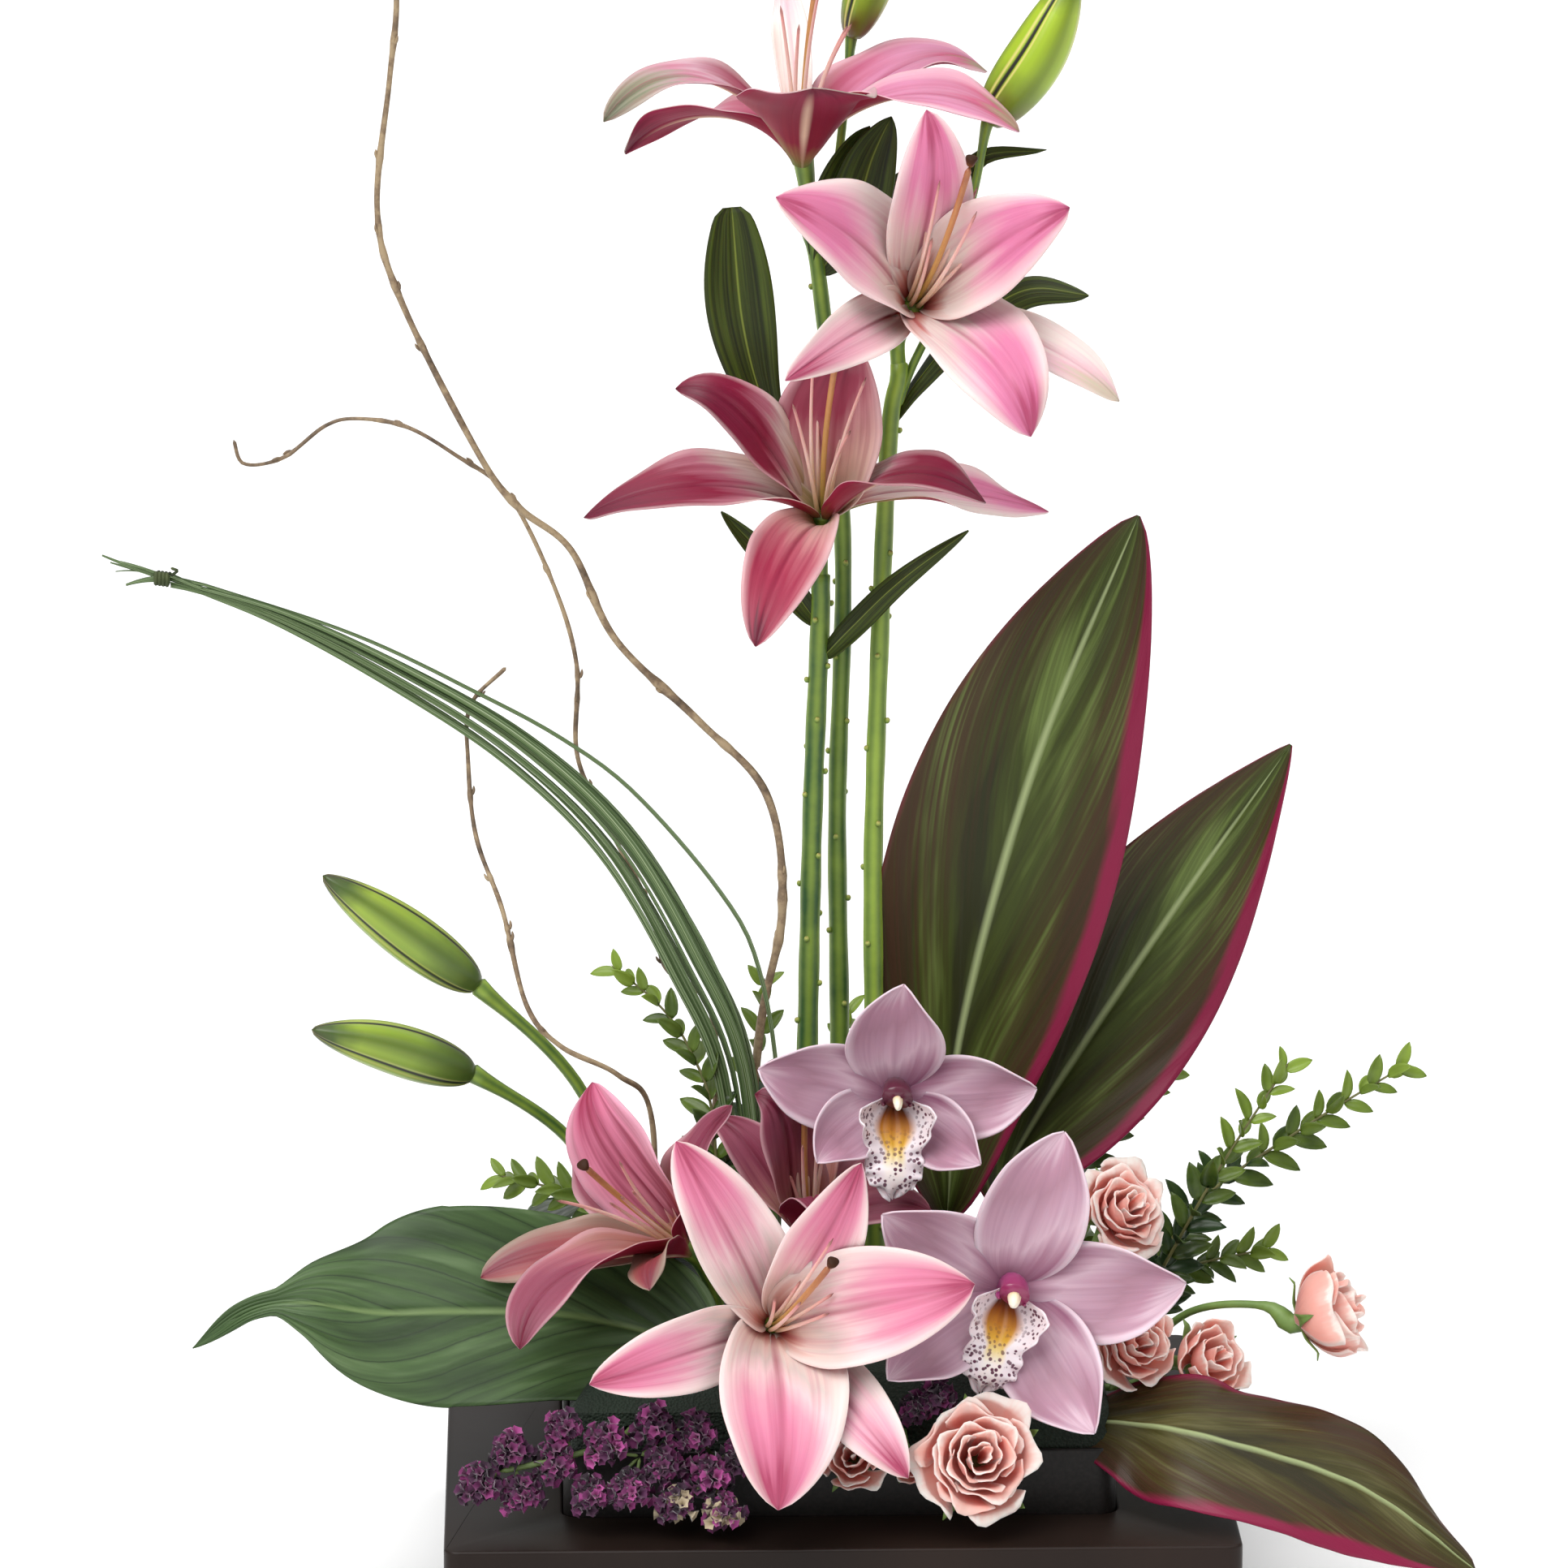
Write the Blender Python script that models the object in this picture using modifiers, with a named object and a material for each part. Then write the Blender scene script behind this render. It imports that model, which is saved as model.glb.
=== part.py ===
"""Floral arrangement in a low lacquered planter: lilies, orchids, spray roses, leaves, grass and willow in wet foam.

Frame: metres, +Z up, origin at the centre of the planter's underside, front of the arrangement towards -Y.
Lengths in the text below are centimetres and go through CM, because that is how a florist measures.
"""

import math

import bmesh
import bpy
from mathutils import Vector

CM = 0.01
MM = 0.001

# Driving dimensions, in metres
PLANTER_SIDE = 30.0 * CM
PLANTER_HEIGHT = 6.0 * CM
WELL_FLOOR = 2.5 * CM  # height of the well's floor
DISH_SIDE = 21.0 * CM
DISH_HEIGHT = 6.0 * CM
DISH_WALL = 0.25 * CM
FOAM_TOP = 11.2 * CM
FOAM_CHAMFER = 1.2 * CM
GAP = 0.3 * MM  # running gap between pieces that touch
PETAL = 1.2 * MM  # petal and leaf thickness

LILY_PINK = "D98BA6"
ORCHID_MAUVE = "BE9DB4"
ROSE_PINK = "F0B3A8"
STATICE_PURPLE = "6A1B4F"
LEAF_GREEN = "3F6B37"
TI_GREEN = "47502F"
STEM_GREEN = "6F9A3C"
BUD_GREEN = "9DB63E"
BARK_BROWN = "8A7458"

parts = None
helpers = None


# ---------------------------------------------------------------- scene and materials


def clear_scene():
    for obj in list(bpy.data.objects):
        bpy.data.objects.remove(obj)


def new_collection(name):
    collection = bpy.data.collections.new(name)
    bpy.context.scene.collection.children.link(collection)
    return collection


def linear(channel):
    """One sRGB channel, 0 to 1, as scene-linear."""
    return channel / 12.92 if channel <= 0.04045 else ((channel + 0.055) / 1.055) ** 2.4


def material(name, colour, roughness):
    found = bpy.data.materials.get(name)
    if found:
        return found
    made = bpy.data.materials.new(name)
    made.use_nodes = True
    shader = made.node_tree.nodes["Principled BSDF"]
    rgb = [linear(int(colour[i : i + 2], 16) / 255) for i in (0, 2, 4)]
    shader.inputs["Base Color"].default_value = (*rgb, 1.0)
    shader.inputs["Roughness"].default_value = roughness
    return made


def finish(obj, name, finish_material):
    """Gives an object its node name, its one material and its place in the parts collection."""
    obj.name = name
    obj.data.name = name
    obj.data.materials.clear()
    obj.data.materials.append(finish_material)
    for collection in list(obj.users_collection):
        collection.objects.unlink(obj)
    parts.objects.link(obj)
    return obj


def as_helper(obj):
    """A cutter or a piece that a Boolean joins: kept out of the render and drawn as wire."""
    for collection in list(obj.users_collection):
        collection.objects.unlink(obj)
    helpers.objects.link(obj)
    obj.hide_render = True
    obj.display_type = "WIRE"
    return obj


def boolean(obj, operation, other):
    modifier = obj.modifiers.new(operation.title(), "BOOLEAN")
    modifier.operation = operation
    modifier.solver = "EXACT"
    modifier.object = other
    return modifier


def baked(obj):
    """The evaluated object as a new mesh object with its loose caps welded. The source is removed."""
    bpy.context.view_layer.update()
    graph = bpy.context.evaluated_depsgraph_get()
    mesh = bpy.data.meshes.new_from_object(obj.evaluated_get(graph))
    shell = bmesh.new()
    shell.from_mesh(mesh)
    bmesh.ops.remove_doubles(shell, verts=shell.verts, dist=0.01 * MM)
    shell.to_mesh(mesh)
    shell.free()
    made = bpy.data.objects.new(obj.name, mesh)
    made.matrix_world = obj.matrix_world
    bpy.context.scene.collection.objects.link(made)
    bpy.data.objects.remove(obj)
    return made


# ---------------------------------------------------------------- paths, tubes and blades


def points_of(*triples):
    """Points given in centimetres, as vectors in metres."""
    return [Vector(triple) * CM for triple in triples]


def smooth_route(points, per_span):
    """A straight first stretch, which is planted in the foam, then a Catmull-Rom curve through the rest."""
    route = [points[0]]
    for i in range(1, len(points) - 1):
        before, start, end = points[i - 1], points[i], points[i + 1]
        after = points[i + 2] if i + 2 < len(points) else end + (end - start)
        for step in range(per_span):
            t = step / per_span
            route.append(
                0.5
                * (
                    2 * start
                    + (end - before) * t
                    + (2 * before - 5 * start + 4 * end - after) * t**2
                    + (3 * start - before - 3 * end + after) * t**3
                )
            )
    route.append(points[-1])
    return route


def tube(points, radius_start, radius_end, resolution=1, per_span=3):
    """A round stem: a poly curve with a bevel that tapers from its foot to its tip."""
    route = smooth_route(points, per_span)
    curve = bpy.data.curves.new("tube", "CURVE")
    curve.dimensions = "3D"
    curve.bevel_depth = 1.0
    curve.bevel_resolution = resolution
    curve.use_fill_caps = True
    spline = curve.splines.new("POLY")
    spline.points.add(len(route) - 1)
    for i, (knot, place) in enumerate(zip(spline.points, route)):
        knot.co = (*place, 1.0)
        knot.radius = radius_start + (radius_end - radius_start) * i / (len(route) - 1)
    made = bpy.data.objects.new("tube", curve)
    bpy.context.scene.collection.objects.link(made)
    return made


def resampled(route, count):
    """count + 1 points spaced evenly by length along a route."""
    lengths = [0.0]
    for a, b in zip(route, route[1:]):
        lengths.append(lengths[-1] + (b - a).length)
    found, i = [], 0
    for k in range(count + 1):
        want = lengths[-1] * k / count
        while i < len(route) - 2 and lengths[i + 1] < want:
            i += 1
        span = lengths[i + 1] - lengths[i]
        found.append(route[i].lerp(route[i + 1], (want - lengths[i]) / span))
    return found


def leaf_width(u, bare, blunt):
    """Half width of a leaf as a share of its widest, at u from 0 at the stalk's foot to 1 at the tip."""
    if u <= bare:
        return 0.0
    return math.sin(math.pi * ((u - bare) / (1 - bare)) ** 0.8) ** blunt


def leaf(points, half_width, edge, stalk=0.3, bare=0.0, cup=0.12, along=8, blunt=0.85):
    """A leaf as a thin sheet: stalk and blade on one spine.

    edge is the way its upper margin lies, bare the length of stalk that carries no blade."""
    route = smooth_route(points, 4)
    spine = [route[0]] + resampled(route[1:], along - 1)
    reached = [0.0]
    for a, b in zip(spine, spine[1:]):
        reached.append(reached[-1] + (b - a).length)
    bpy.ops.mesh.primitive_grid_add(x_subdivisions=2, y_subdivisions=along, size=2)
    made = bpy.context.object
    for vertex in made.data.vertices:
        across = vertex.co.x
        step = round((vertex.co.y + 1) / 2 * along)
        u = reached[step] / reached[-1]
        tangent = (spine[min(step + 1, along)] - spine[max(step - 1, 0)]).normalized()
        side = Vector(edge)
        side = (side - tangent * side.dot(tangent)).normalized()
        face = side.cross(tangent)
        half = (stalk * (1 - 0.7 * u) + half_width * leaf_width(u, bare * CM / reached[-1], blunt)) * CM
        vertex.co = spine[step] + side * across * half + face * cup * half * across**2
    thicken(made)
    return made


def thicken(obj, thickness=PETAL):
    solidify = obj.modifiers.new("Thickness", "SOLIDIFY")
    solidify.thickness = thickness
    solidify.offset = 0.0
    return obj


# ---------------------------------------------------------------- flowers


def tepal_width(u):
    """Half width of a tepal as a share of its widest, from its claw to its tip."""
    return max(0.04, math.sin(math.pi * u**0.9) ** 0.8)


def tepal_spine(root, tip, axis, recurve, u):
    """A point on the arched midrib: it leaves along the flower's axis and bends over towards the tip."""
    chord = tip - root
    reach = chord.length
    outward = (chord - axis * chord.dot(axis)).normalized()
    control_a = root + (axis * 0.8 + outward * 0.35) * reach * 0.38
    control_b = tip + axis * recurve * reach * 0.35 - outward * reach * 0.32
    v = 1 - u
    return root * v**3 + control_a * 3 * v**2 * u + control_b * 3 * v * u**2 + tip * u**3


def flower_cup(base, axis, tepals, claw_radius, along=5):
    """All the tepals of one flower as one open sheet: a short tube whose rim is drawn out into lobes.

    tepals are (tip, half width, recurve) in order round the axis, in metres."""
    axis = axis.normalized()
    count = len(tepals)
    outward = []
    for tip, _, _ in tepals:
        chord = tip - base
        outward.append((chord - axis * chord.dot(axis)).normalized())
    across_first = axis.cross(outward[0])
    sheet = bmesh.new()

    def ring(height, radius):
        verts = []
        for k in range(2 * count):
            angle = math.pi * k / count
            spoke = outward[0] * math.cos(angle) + across_first * math.sin(angle)
            verts.append(sheet.verts.new(base + axis * height + spoke * radius))
        return verts

    low = ring(0.0, claw_radius * 0.6)
    high = ring(claw_radius * 1.6, claw_radius)
    for k in range(2 * count):
        nxt = (k + 1) % (2 * count)
        sheet.faces.new((low[k], low[nxt], high[nxt], high[k]))
    for i, (tip, half, recurve) in enumerate(tepals):
        root = high[2 * i].co.copy()
        row = [high[2 * i - 1], high[2 * i], high[(2 * i + 1) % (2 * count)]]
        chord = tip - root
        lobe_out = (chord - axis * chord.dot(axis)).normalized()
        side = axis.cross(lobe_out)
        for step in range(1, along + 1):
            u = step / along
            here = tepal_spine(root, tip, axis, recurve, u)
            before = tepal_spine(root, tip, axis, recurve, u - 0.5 / along)
            face = side.cross((here - before).normalized())
            width = half * tepal_width(u)
            fresh = [
                sheet.verts.new(here + side * width * v + face * abs(v) * width * -0.18)
                for v in (-1, 0, 1)
            ]
            for a in (0, 1):
                sheet.faces.new((row[a], row[a + 1], fresh[a + 1], fresh[a]))
            row = fresh
    bmesh.ops.recalc_face_normals(sheet, faces=sheet.faces)
    mesh = bpy.data.meshes.new("cup")
    sheet.to_mesh(mesh)
    sheet.free()
    made = bpy.data.objects.new("cup", mesh)
    bpy.context.scene.collection.objects.link(made)
    return thicken(made)


def flower(name, base, axis, tepals, claw_radius, stalk, stalk_radius, look):
    """A flower head on its own stalk, as one body. base and stalk are in centimetres; the stalk ends at the base."""
    base_at = Vector(base) * CM
    ordered = [(Vector(tip) * CM, half * CM, recurve) for tip, half, recurve in tepals]
    cup = baked(flower_cup(base_at, Vector(axis), ordered, claw_radius * CM))
    inside = base_at + Vector(axis).normalized() * claw_radius * CM * 0.8
    route = points_of(*stalk) + [inside]
    stem = as_helper(baked(tube(route, stalk_radius * CM, claw_radius * CM * 0.72, per_span=2)))
    boolean(cup, "UNION", stem)
    return finish(cup, name, look)


def bud(name, base, tip, radius, stalk, stalk_radius, look, sides=8):
    """A closed flower bud on its stalk: one turned body with a pointed nose, bent onto its line."""
    base_at, tip_at = Vector(base) * CM, Vector(tip) * CM
    line = tip_at - base_at
    stations = ((0.0, 0.25), (0.08, 0.62), (0.3, 0.95), (0.5, 1.0), (0.75, 0.72), (0.93, 0.34), (1.0, 0.1))
    route = points_of(*stalk)
    spine = smooth_route(route + [base_at], 2)
    curve = bpy.data.curves.new("bud", "CURVE")
    curve.dimensions = "3D"
    curve.bevel_depth = 1.0
    curve.bevel_resolution = (sides - 4) // 2
    curve.use_fill_caps = True
    spline = curve.splines.new("POLY")
    knots = [(place, stalk_radius * CM) for place in spine[:-1]]
    knots += [(base_at + line * share, radius * CM * size) for share, size in stations]
    spline.points.add(len(knots) - 1)
    for knot, (place, size) in zip(spline.points, knots):
        knot.co = (*place, 1.0)
        knot.radius = size
    made = bpy.data.objects.new("bud", curve)
    bpy.context.scene.collection.objects.link(made)
    return finish(made, name, look)


def rose(name, centre, facing, radius, stalk, look, open_share=1.0):
    """A spray rose: a many-petalled ball flattened towards its open face, with its calyx and stalk."""
    middle = Vector(centre) * CM
    axis = Vector(facing).normalized()
    bpy.ops.mesh.primitive_uv_sphere_add(segments=10, ring_count=6, radius=radius * CM)
    head = bpy.context.object
    turn = axis.to_track_quat("Z", "Y")
    for vertex in head.data.vertices:
        height = vertex.co.z / (radius * CM)
        swell = 1.0 if height < 0 else 0.78 + 0.22 * open_share * (1 - height)
        shrink = 0.82 if height < 0 else 0.7
        local = Vector((vertex.co.x * swell, vertex.co.y * swell, vertex.co.z * shrink))
        vertex.co = middle + turn @ local
    route = points_of(*stalk) + [middle - axis * radius * CM * 0.55]
    stem = as_helper(baked(tube(route, 0.16 * CM, 0.26 * CM, per_span=2)))
    boolean(head, "UNION", stem)
    return finish(head, name, look)


# ---------------------------------------------------------------- sprigs


def sprig(name, route, leaves, leaf_length, leaf_half, look, start=0.3, radius=0.11):
    """A woody sprig with small pointed leaves in crossed pairs, joined to its stem."""
    points = points_of(*route)
    stem = baked(tube(points, radius * CM, radius * 0.7 * CM, per_span=2))
    spine = resampled(smooth_route(points, 4), 40)
    for i in range(leaves):
        share = start + (0.97 - start) * (i // 2) / max(1, (leaves - 1) // 2)
        k = min(38, int(share * 40))
        along = (spine[k + 1] - spine[k]).normalized()
        turn = math.pi * (i % 2) + (i // 2) * math.pi / 2 + 0.5
        first = along.orthogonal().normalized()
        spoke = first * math.cos(turn) + along.cross(first) * math.sin(turn)
        reach = leaf_length * CM * (1.0 - 0.35 * share)
        root = spine[k]
        tip = root + (spoke * 0.75 + along * 0.65) * reach
        bpy.ops.mesh.primitive_cone_add(vertices=4, radius1=leaf_half * CM, radius2=0.0, depth=1.0)
        made = bpy.context.object
        line = tip - root
        side = along.cross(spoke).normalized()
        up = side.cross(line.normalized())
        for vertex in made.data.vertices:
            share_up = vertex.co.z + 0.5
            flat = up * vertex.co.y * 0.3
            vertex.co = root + line * share_up + side * vertex.co.x + flat
        recalc = bmesh.new()
        recalc.from_mesh(made.data)
        bmesh.ops.recalc_face_normals(recalc, faces=recalc.faces)
        recalc.to_mesh(made.data)
        recalc.free()
        boolean(stem, "UNION", as_helper(made))
    return finish(stem, name, look)


def floret_spray(name, route, clusters, look):
    """A statice spray: a thin stem with small round heads of florets along it."""
    points = points_of(*route)
    stem = baked(tube(points, 0.14 * CM, 0.1 * CM, per_span=2))
    spine = resampled(smooth_route(points, 4), 12)
    for x, y, z, radius in clusters:
        centre = Vector((x, y, z)) * CM
        fork = min(spine[5:], key=lambda place: (place - centre).length)
        if (fork - centre).length > 0.5 * radius * CM:
            branch = baked(tube([fork, fork.lerp(centre, 0.5), centre], 0.09 * CM, 0.09 * CM))
            boolean(stem, "UNION", as_helper(branch))
        bpy.ops.mesh.primitive_ico_sphere_add(subdivisions=1, radius=radius * CM, location=centre)
        boolean(stem, "UNION", as_helper(baked(bpy.context.object)))
    return finish(stem, name, look)


# ---------------------------------------------------------------- holder


def rounded_block(side, low, high, radius, name):
    """A square block with rounded standing corners."""
    bpy.ops.mesh.primitive_cube_add(size=1)
    block = bpy.context.object
    block.name = name
    for vertex in block.data.vertices:
        vertex.co = Vector((vertex.co.x * side, vertex.co.y * side, low if vertex.co.z < 0 else high))
    if radius:
        shell = bmesh.new()
        shell.from_mesh(block.data)
        standing = [e for e in shell.edges if abs(e.verts[0].co.z - e.verts[1].co.z) > (high - low) / 2]
        bmesh.ops.bevel(shell, geom=standing, offset=radius, segments=3, affect="EDGES", profile=0.5)
        shell.to_mesh(block.data)
        shell.free()
    return block


def planter():
    """The lacquered block: a hollow box with a square well in its top that the dish drops into."""
    body = rounded_block(PLANTER_SIDE, 0.0, PLANTER_HEIGHT, 0.6 * CM, "planter")
    well = rounded_block(DISH_SIDE + 2 * GAP, WELL_FLOOR, PLANTER_HEIGHT + 1 * CM, 0.8 * CM, "well")
    boolean(body, "DIFFERENCE", as_helper(well))
    return finish(body, "planter_base", material("Lacquer", "33261F", 0.2))


def dish():
    floor = WELL_FLOOR + GAP
    shell = rounded_block(DISH_SIDE, floor, floor + DISH_HEIGHT, 0.8 * CM, "dish")
    inside = rounded_block(DISH_SIDE - 2 * DISH_WALL, floor + DISH_WALL, floor + DISH_HEIGHT + 1 * CM, 0.55 * CM, "hollow")
    boolean(shell, "DIFFERENCE", as_helper(inside))
    return finish(shell, "foam_dish", material("Dish plastic", "2A2321", 0.45))


def foam():
    """The foam block, with a socket for every planted stem."""
    low = WELL_FLOOR + GAP + DISH_WALL + GAP
    side = DISH_SIDE - 2 * DISH_WALL - 2 * GAP
    block = rounded_block(side, low, FOAM_TOP - FOAM_CHAMFER, 0.5 * CM, "foam")
    shell = bmesh.new()
    shell.from_mesh(block.data)
    lid = max(shell.faces, key=lambda f: f.calc_center_median().z)
    raised = bmesh.ops.extrude_face_region(shell, geom=[lid])["geom"]
    shrink = 1 - 2 * FOAM_CHAMFER / side
    for vertex in raised:
        if isinstance(vertex, bmesh.types.BMVert):
            vertex.co = Vector((vertex.co.x * shrink, vertex.co.y * shrink, FOAM_TOP))
    shell.faces.remove(lid)
    shell.to_mesh(block.data)
    shell.free()
    holes = bmesh.new()
    for start, end, radius in sockets:
        line = (end - start).normalized()
        start = start - line * GAP
        first = line.orthogonal().normalized()
        second = line.cross(first)
        rings = []
        for centre in (start, end):
            rings.append(
                [
                    holes.verts.new(centre + (first * math.cos(a) + second * math.sin(a)) * (radius + GAP) * 1.09)
                    for a in (k * math.pi / 4 for k in range(8))
                ]
            )
        low_ring, high_ring = rings
        for k in range(8):
            holes.faces.new((low_ring[k], low_ring[(k + 1) % 8], high_ring[(k + 1) % 8], high_ring[k]))
        holes.faces.new(reversed(low_ring))
        holes.faces.new(high_ring)
    mesh = bpy.data.meshes.new("sockets")
    bmesh.ops.recalc_face_normals(holes, faces=holes.faces)
    holes.to_mesh(mesh)
    holes.free()
    cutter = bpy.data.objects.new("sockets", mesh)
    bpy.context.scene.collection.objects.link(cutter)
    boolean(block, "DIFFERENCE", as_helper(cutter))
    return finish(block, "floral_foam", material("Wet foam", "2F4A33", 0.9))


# ---------------------------------------------------------------- tall column

STEM_LEFT = ((-1.1, 2.0, 4.4), (-1.1, 2.0, 12.0), (-0.9, 2.0, 21.2), (-0.7, 2.0, 30.6), (-0.4, 2.0, 38.4), (-0.4, 2.0, 39.3), (-0.4, 2.0, 40.2))
STEM_MIDDLE = (
    (0.3, 3.6, 4.4), (0.3, 3.6, 12.0), (0.4, 3.5, 21.2), (0.3, 3.5, 30.3), (0.6, 3.5, 41.2),
    (-0.3, 3.4, 51.0), (-0.9, 3.2, 53.3), (-0.9, 3.2, 54.2),
)
STEM_RIGHT = ((1.8, 2.5, 4.4), (1.8, 2.5, 12.0), (1.7, 2.5, 22.7), (1.7, 2.5, 30.5), (2.2, 2.5, 44.5), (2.6, 2.5, 47.5), (2.6, 2.5, 48.4))


def stem(name, route, radius_start, radius_end):
    points = points_of(*route)
    plant(points, radius_start)
    return finish(tube(points, radius_start * CM, radius_end * CM), name, material("Lily stem", STEM_GREEN, 0.5))


def tall_column():
    pink = material("Lily petal", LILY_PINK, 0.5)
    bud_look = material("Lily bud", BUD_GREEN, 0.4)
    stem("lily_stem_left", STEM_LEFT, 0.44, 0.38)
    stem("lily_stem_middle", STEM_MIDDLE, 0.44, 0.32)
    stem("lily_stem_right", STEM_RIGHT, 0.42, 0.34)
    flower(
        "lily_bloom_lower", (-0.3, 1.6, 42.0), (-0.05, -0.62, 0.78),
        [
            ((-9.5, -0.2, 42.6), 1.35, 0.55), ((-3.1, -6.5, 38.8), 1.25, 0.6), ((5.6, -5.2, 44.0), 1.25, 0.5),
            ((8.5, 4.4, 41.9), 1.35, 0.55), ((0.9, -0.6, 49.2), 1.5, 0.15), ((-6.0, -1.0, 47.7), 1.4, 0.5),
        ],
        0.55, ((-0.4, 2.0, 40.23), (-0.4, 2.0, 40.8)), 0.3, pink,
    )
    flower(
        "lily_bloom_upper", (3.0, 1.0, 50.5), (0.2, -0.88, 0.42),
        [
            ((3.4, -3.6, 58.7), 1.4, 0.2), ((-2.2, -4.9, 55.8), 1.5, 0.25), ((-2.0, -6.9, 49.0), 1.35, 0.4),
            ((7.2, -6.7, 46.8), 1.4, 0.55), ((10.7, -3.6, 47.6), 1.3, 0.5), ((8.7, -5.1, 55.2), 1.5, 0.2),
        ],
        0.55, ((2.6, 2.5, 48.43), (2.6, 2.5, 49.1)), 0.28, pink,
    )
    flower(
        "lily_bloom_top", (-1.1, 3.0, 55.6), (0.0, -0.05, 1.0),
        [
            ((-8.7, -1.5, 58.0), 1.3, 0.55), ((-0.9, -4.2, 58.8), 1.5, 0.3), ((7.0, -1.1, 57.5), 1.4, 0.5),
            ((6.2, 7.8, 58.6), 1.3, 0.5), ((-1.8, 8.7, 61.8), 1.4, 0.3), ((-7.8, 8.1, 55.4), 1.3, 0.6),
        ],
        0.55, ((-0.9, 3.2, 54.23), (-0.9, 3.2, 54.8)), 0.28, pink,
    )
    bud(
        "lily_bud_top_right", (5.9, 1.6, 57.4), (9.3, 1.0, 63.4), 0.95,
        ((3.02, 2.7, 47.2), (4.2, 3.1, 50.0), (5.4, 2.4, 54.5)), 0.2, bud_look,
    )
    bud(
        "lily_bud_top_centre", (0.9, 6.7, 60.0), (2.4, 6.0, 66.8), 0.9,
        ((-0.55, 3.85, 51.7), (0.2, 5.0, 54.5), (0.7, 6.5, 58.0)), 0.2, bud_look,
    )


def lily_leaf(name, points, half_width, edge, **shape):
    finish(leaf(points_of(*points), half_width, edge, **shape), name, material("Lily leaf", LEAF_GREEN, 0.45))


def stem_leaves():
    lily_leaf("lily_leaf_blunt", ((-0.02, 3.3, 44.4), (-1.6, 2.6, 45.2), (-3.0, 1.9, 47.2), (-3.6, 1.8, 50.4), (-3.8, 2.2, 54.2)), 1.25, (1, 0, 0.1), stalk=0.35, bare=1.2, blunt=0.5)
    lily_leaf("lily_leaf_long", ((0.15, 1.85, 37.1), (0.9, 0.8, 38.2), (2.6, 0.2, 40.0), (5.2, 0.0, 42.0)), 0.42, (-0.6, 0.2, 0.8), stalk=0.3)
    lily_leaf("lily_leaf_left_upper", ((-1.1, 2.0, 38.6), (-2.2, 2.5, 40.2), (-4.2, 3.2, 42.2)), 0.5, (0.5, 0, 0.9), stalk=0.3)
    lily_leaf("lily_leaf_right_upper", ((2.74, 2.7, 46.2), (5.0, 2.6, 49.2), (7.4, 1.6, 51.0), (9.8, 1.0, 50.9)), 0.75, (0, 0.6, 0.8), stalk=0.25, bare=1.0)
    lily_leaf("lily_leaf_fork", ((0.16, 3.3, 52.0), (1.2, 2.9, 53.8), (1.9, 2.7, 56.0), (2.3, 2.5, 57.6)), 0.75, (1, 0, -0.3), stalk=0.3)


# ---------------------------------------------------------------- low flowers


def planted_flower(name, base, axis, tepals, claw_radius, stalk, stalk_radius, look):
    plant(points_of(*stalk), stalk_radius)
    return flower(name, base, axis, tepals, claw_radius, stalk, stalk_radius, look)


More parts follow.
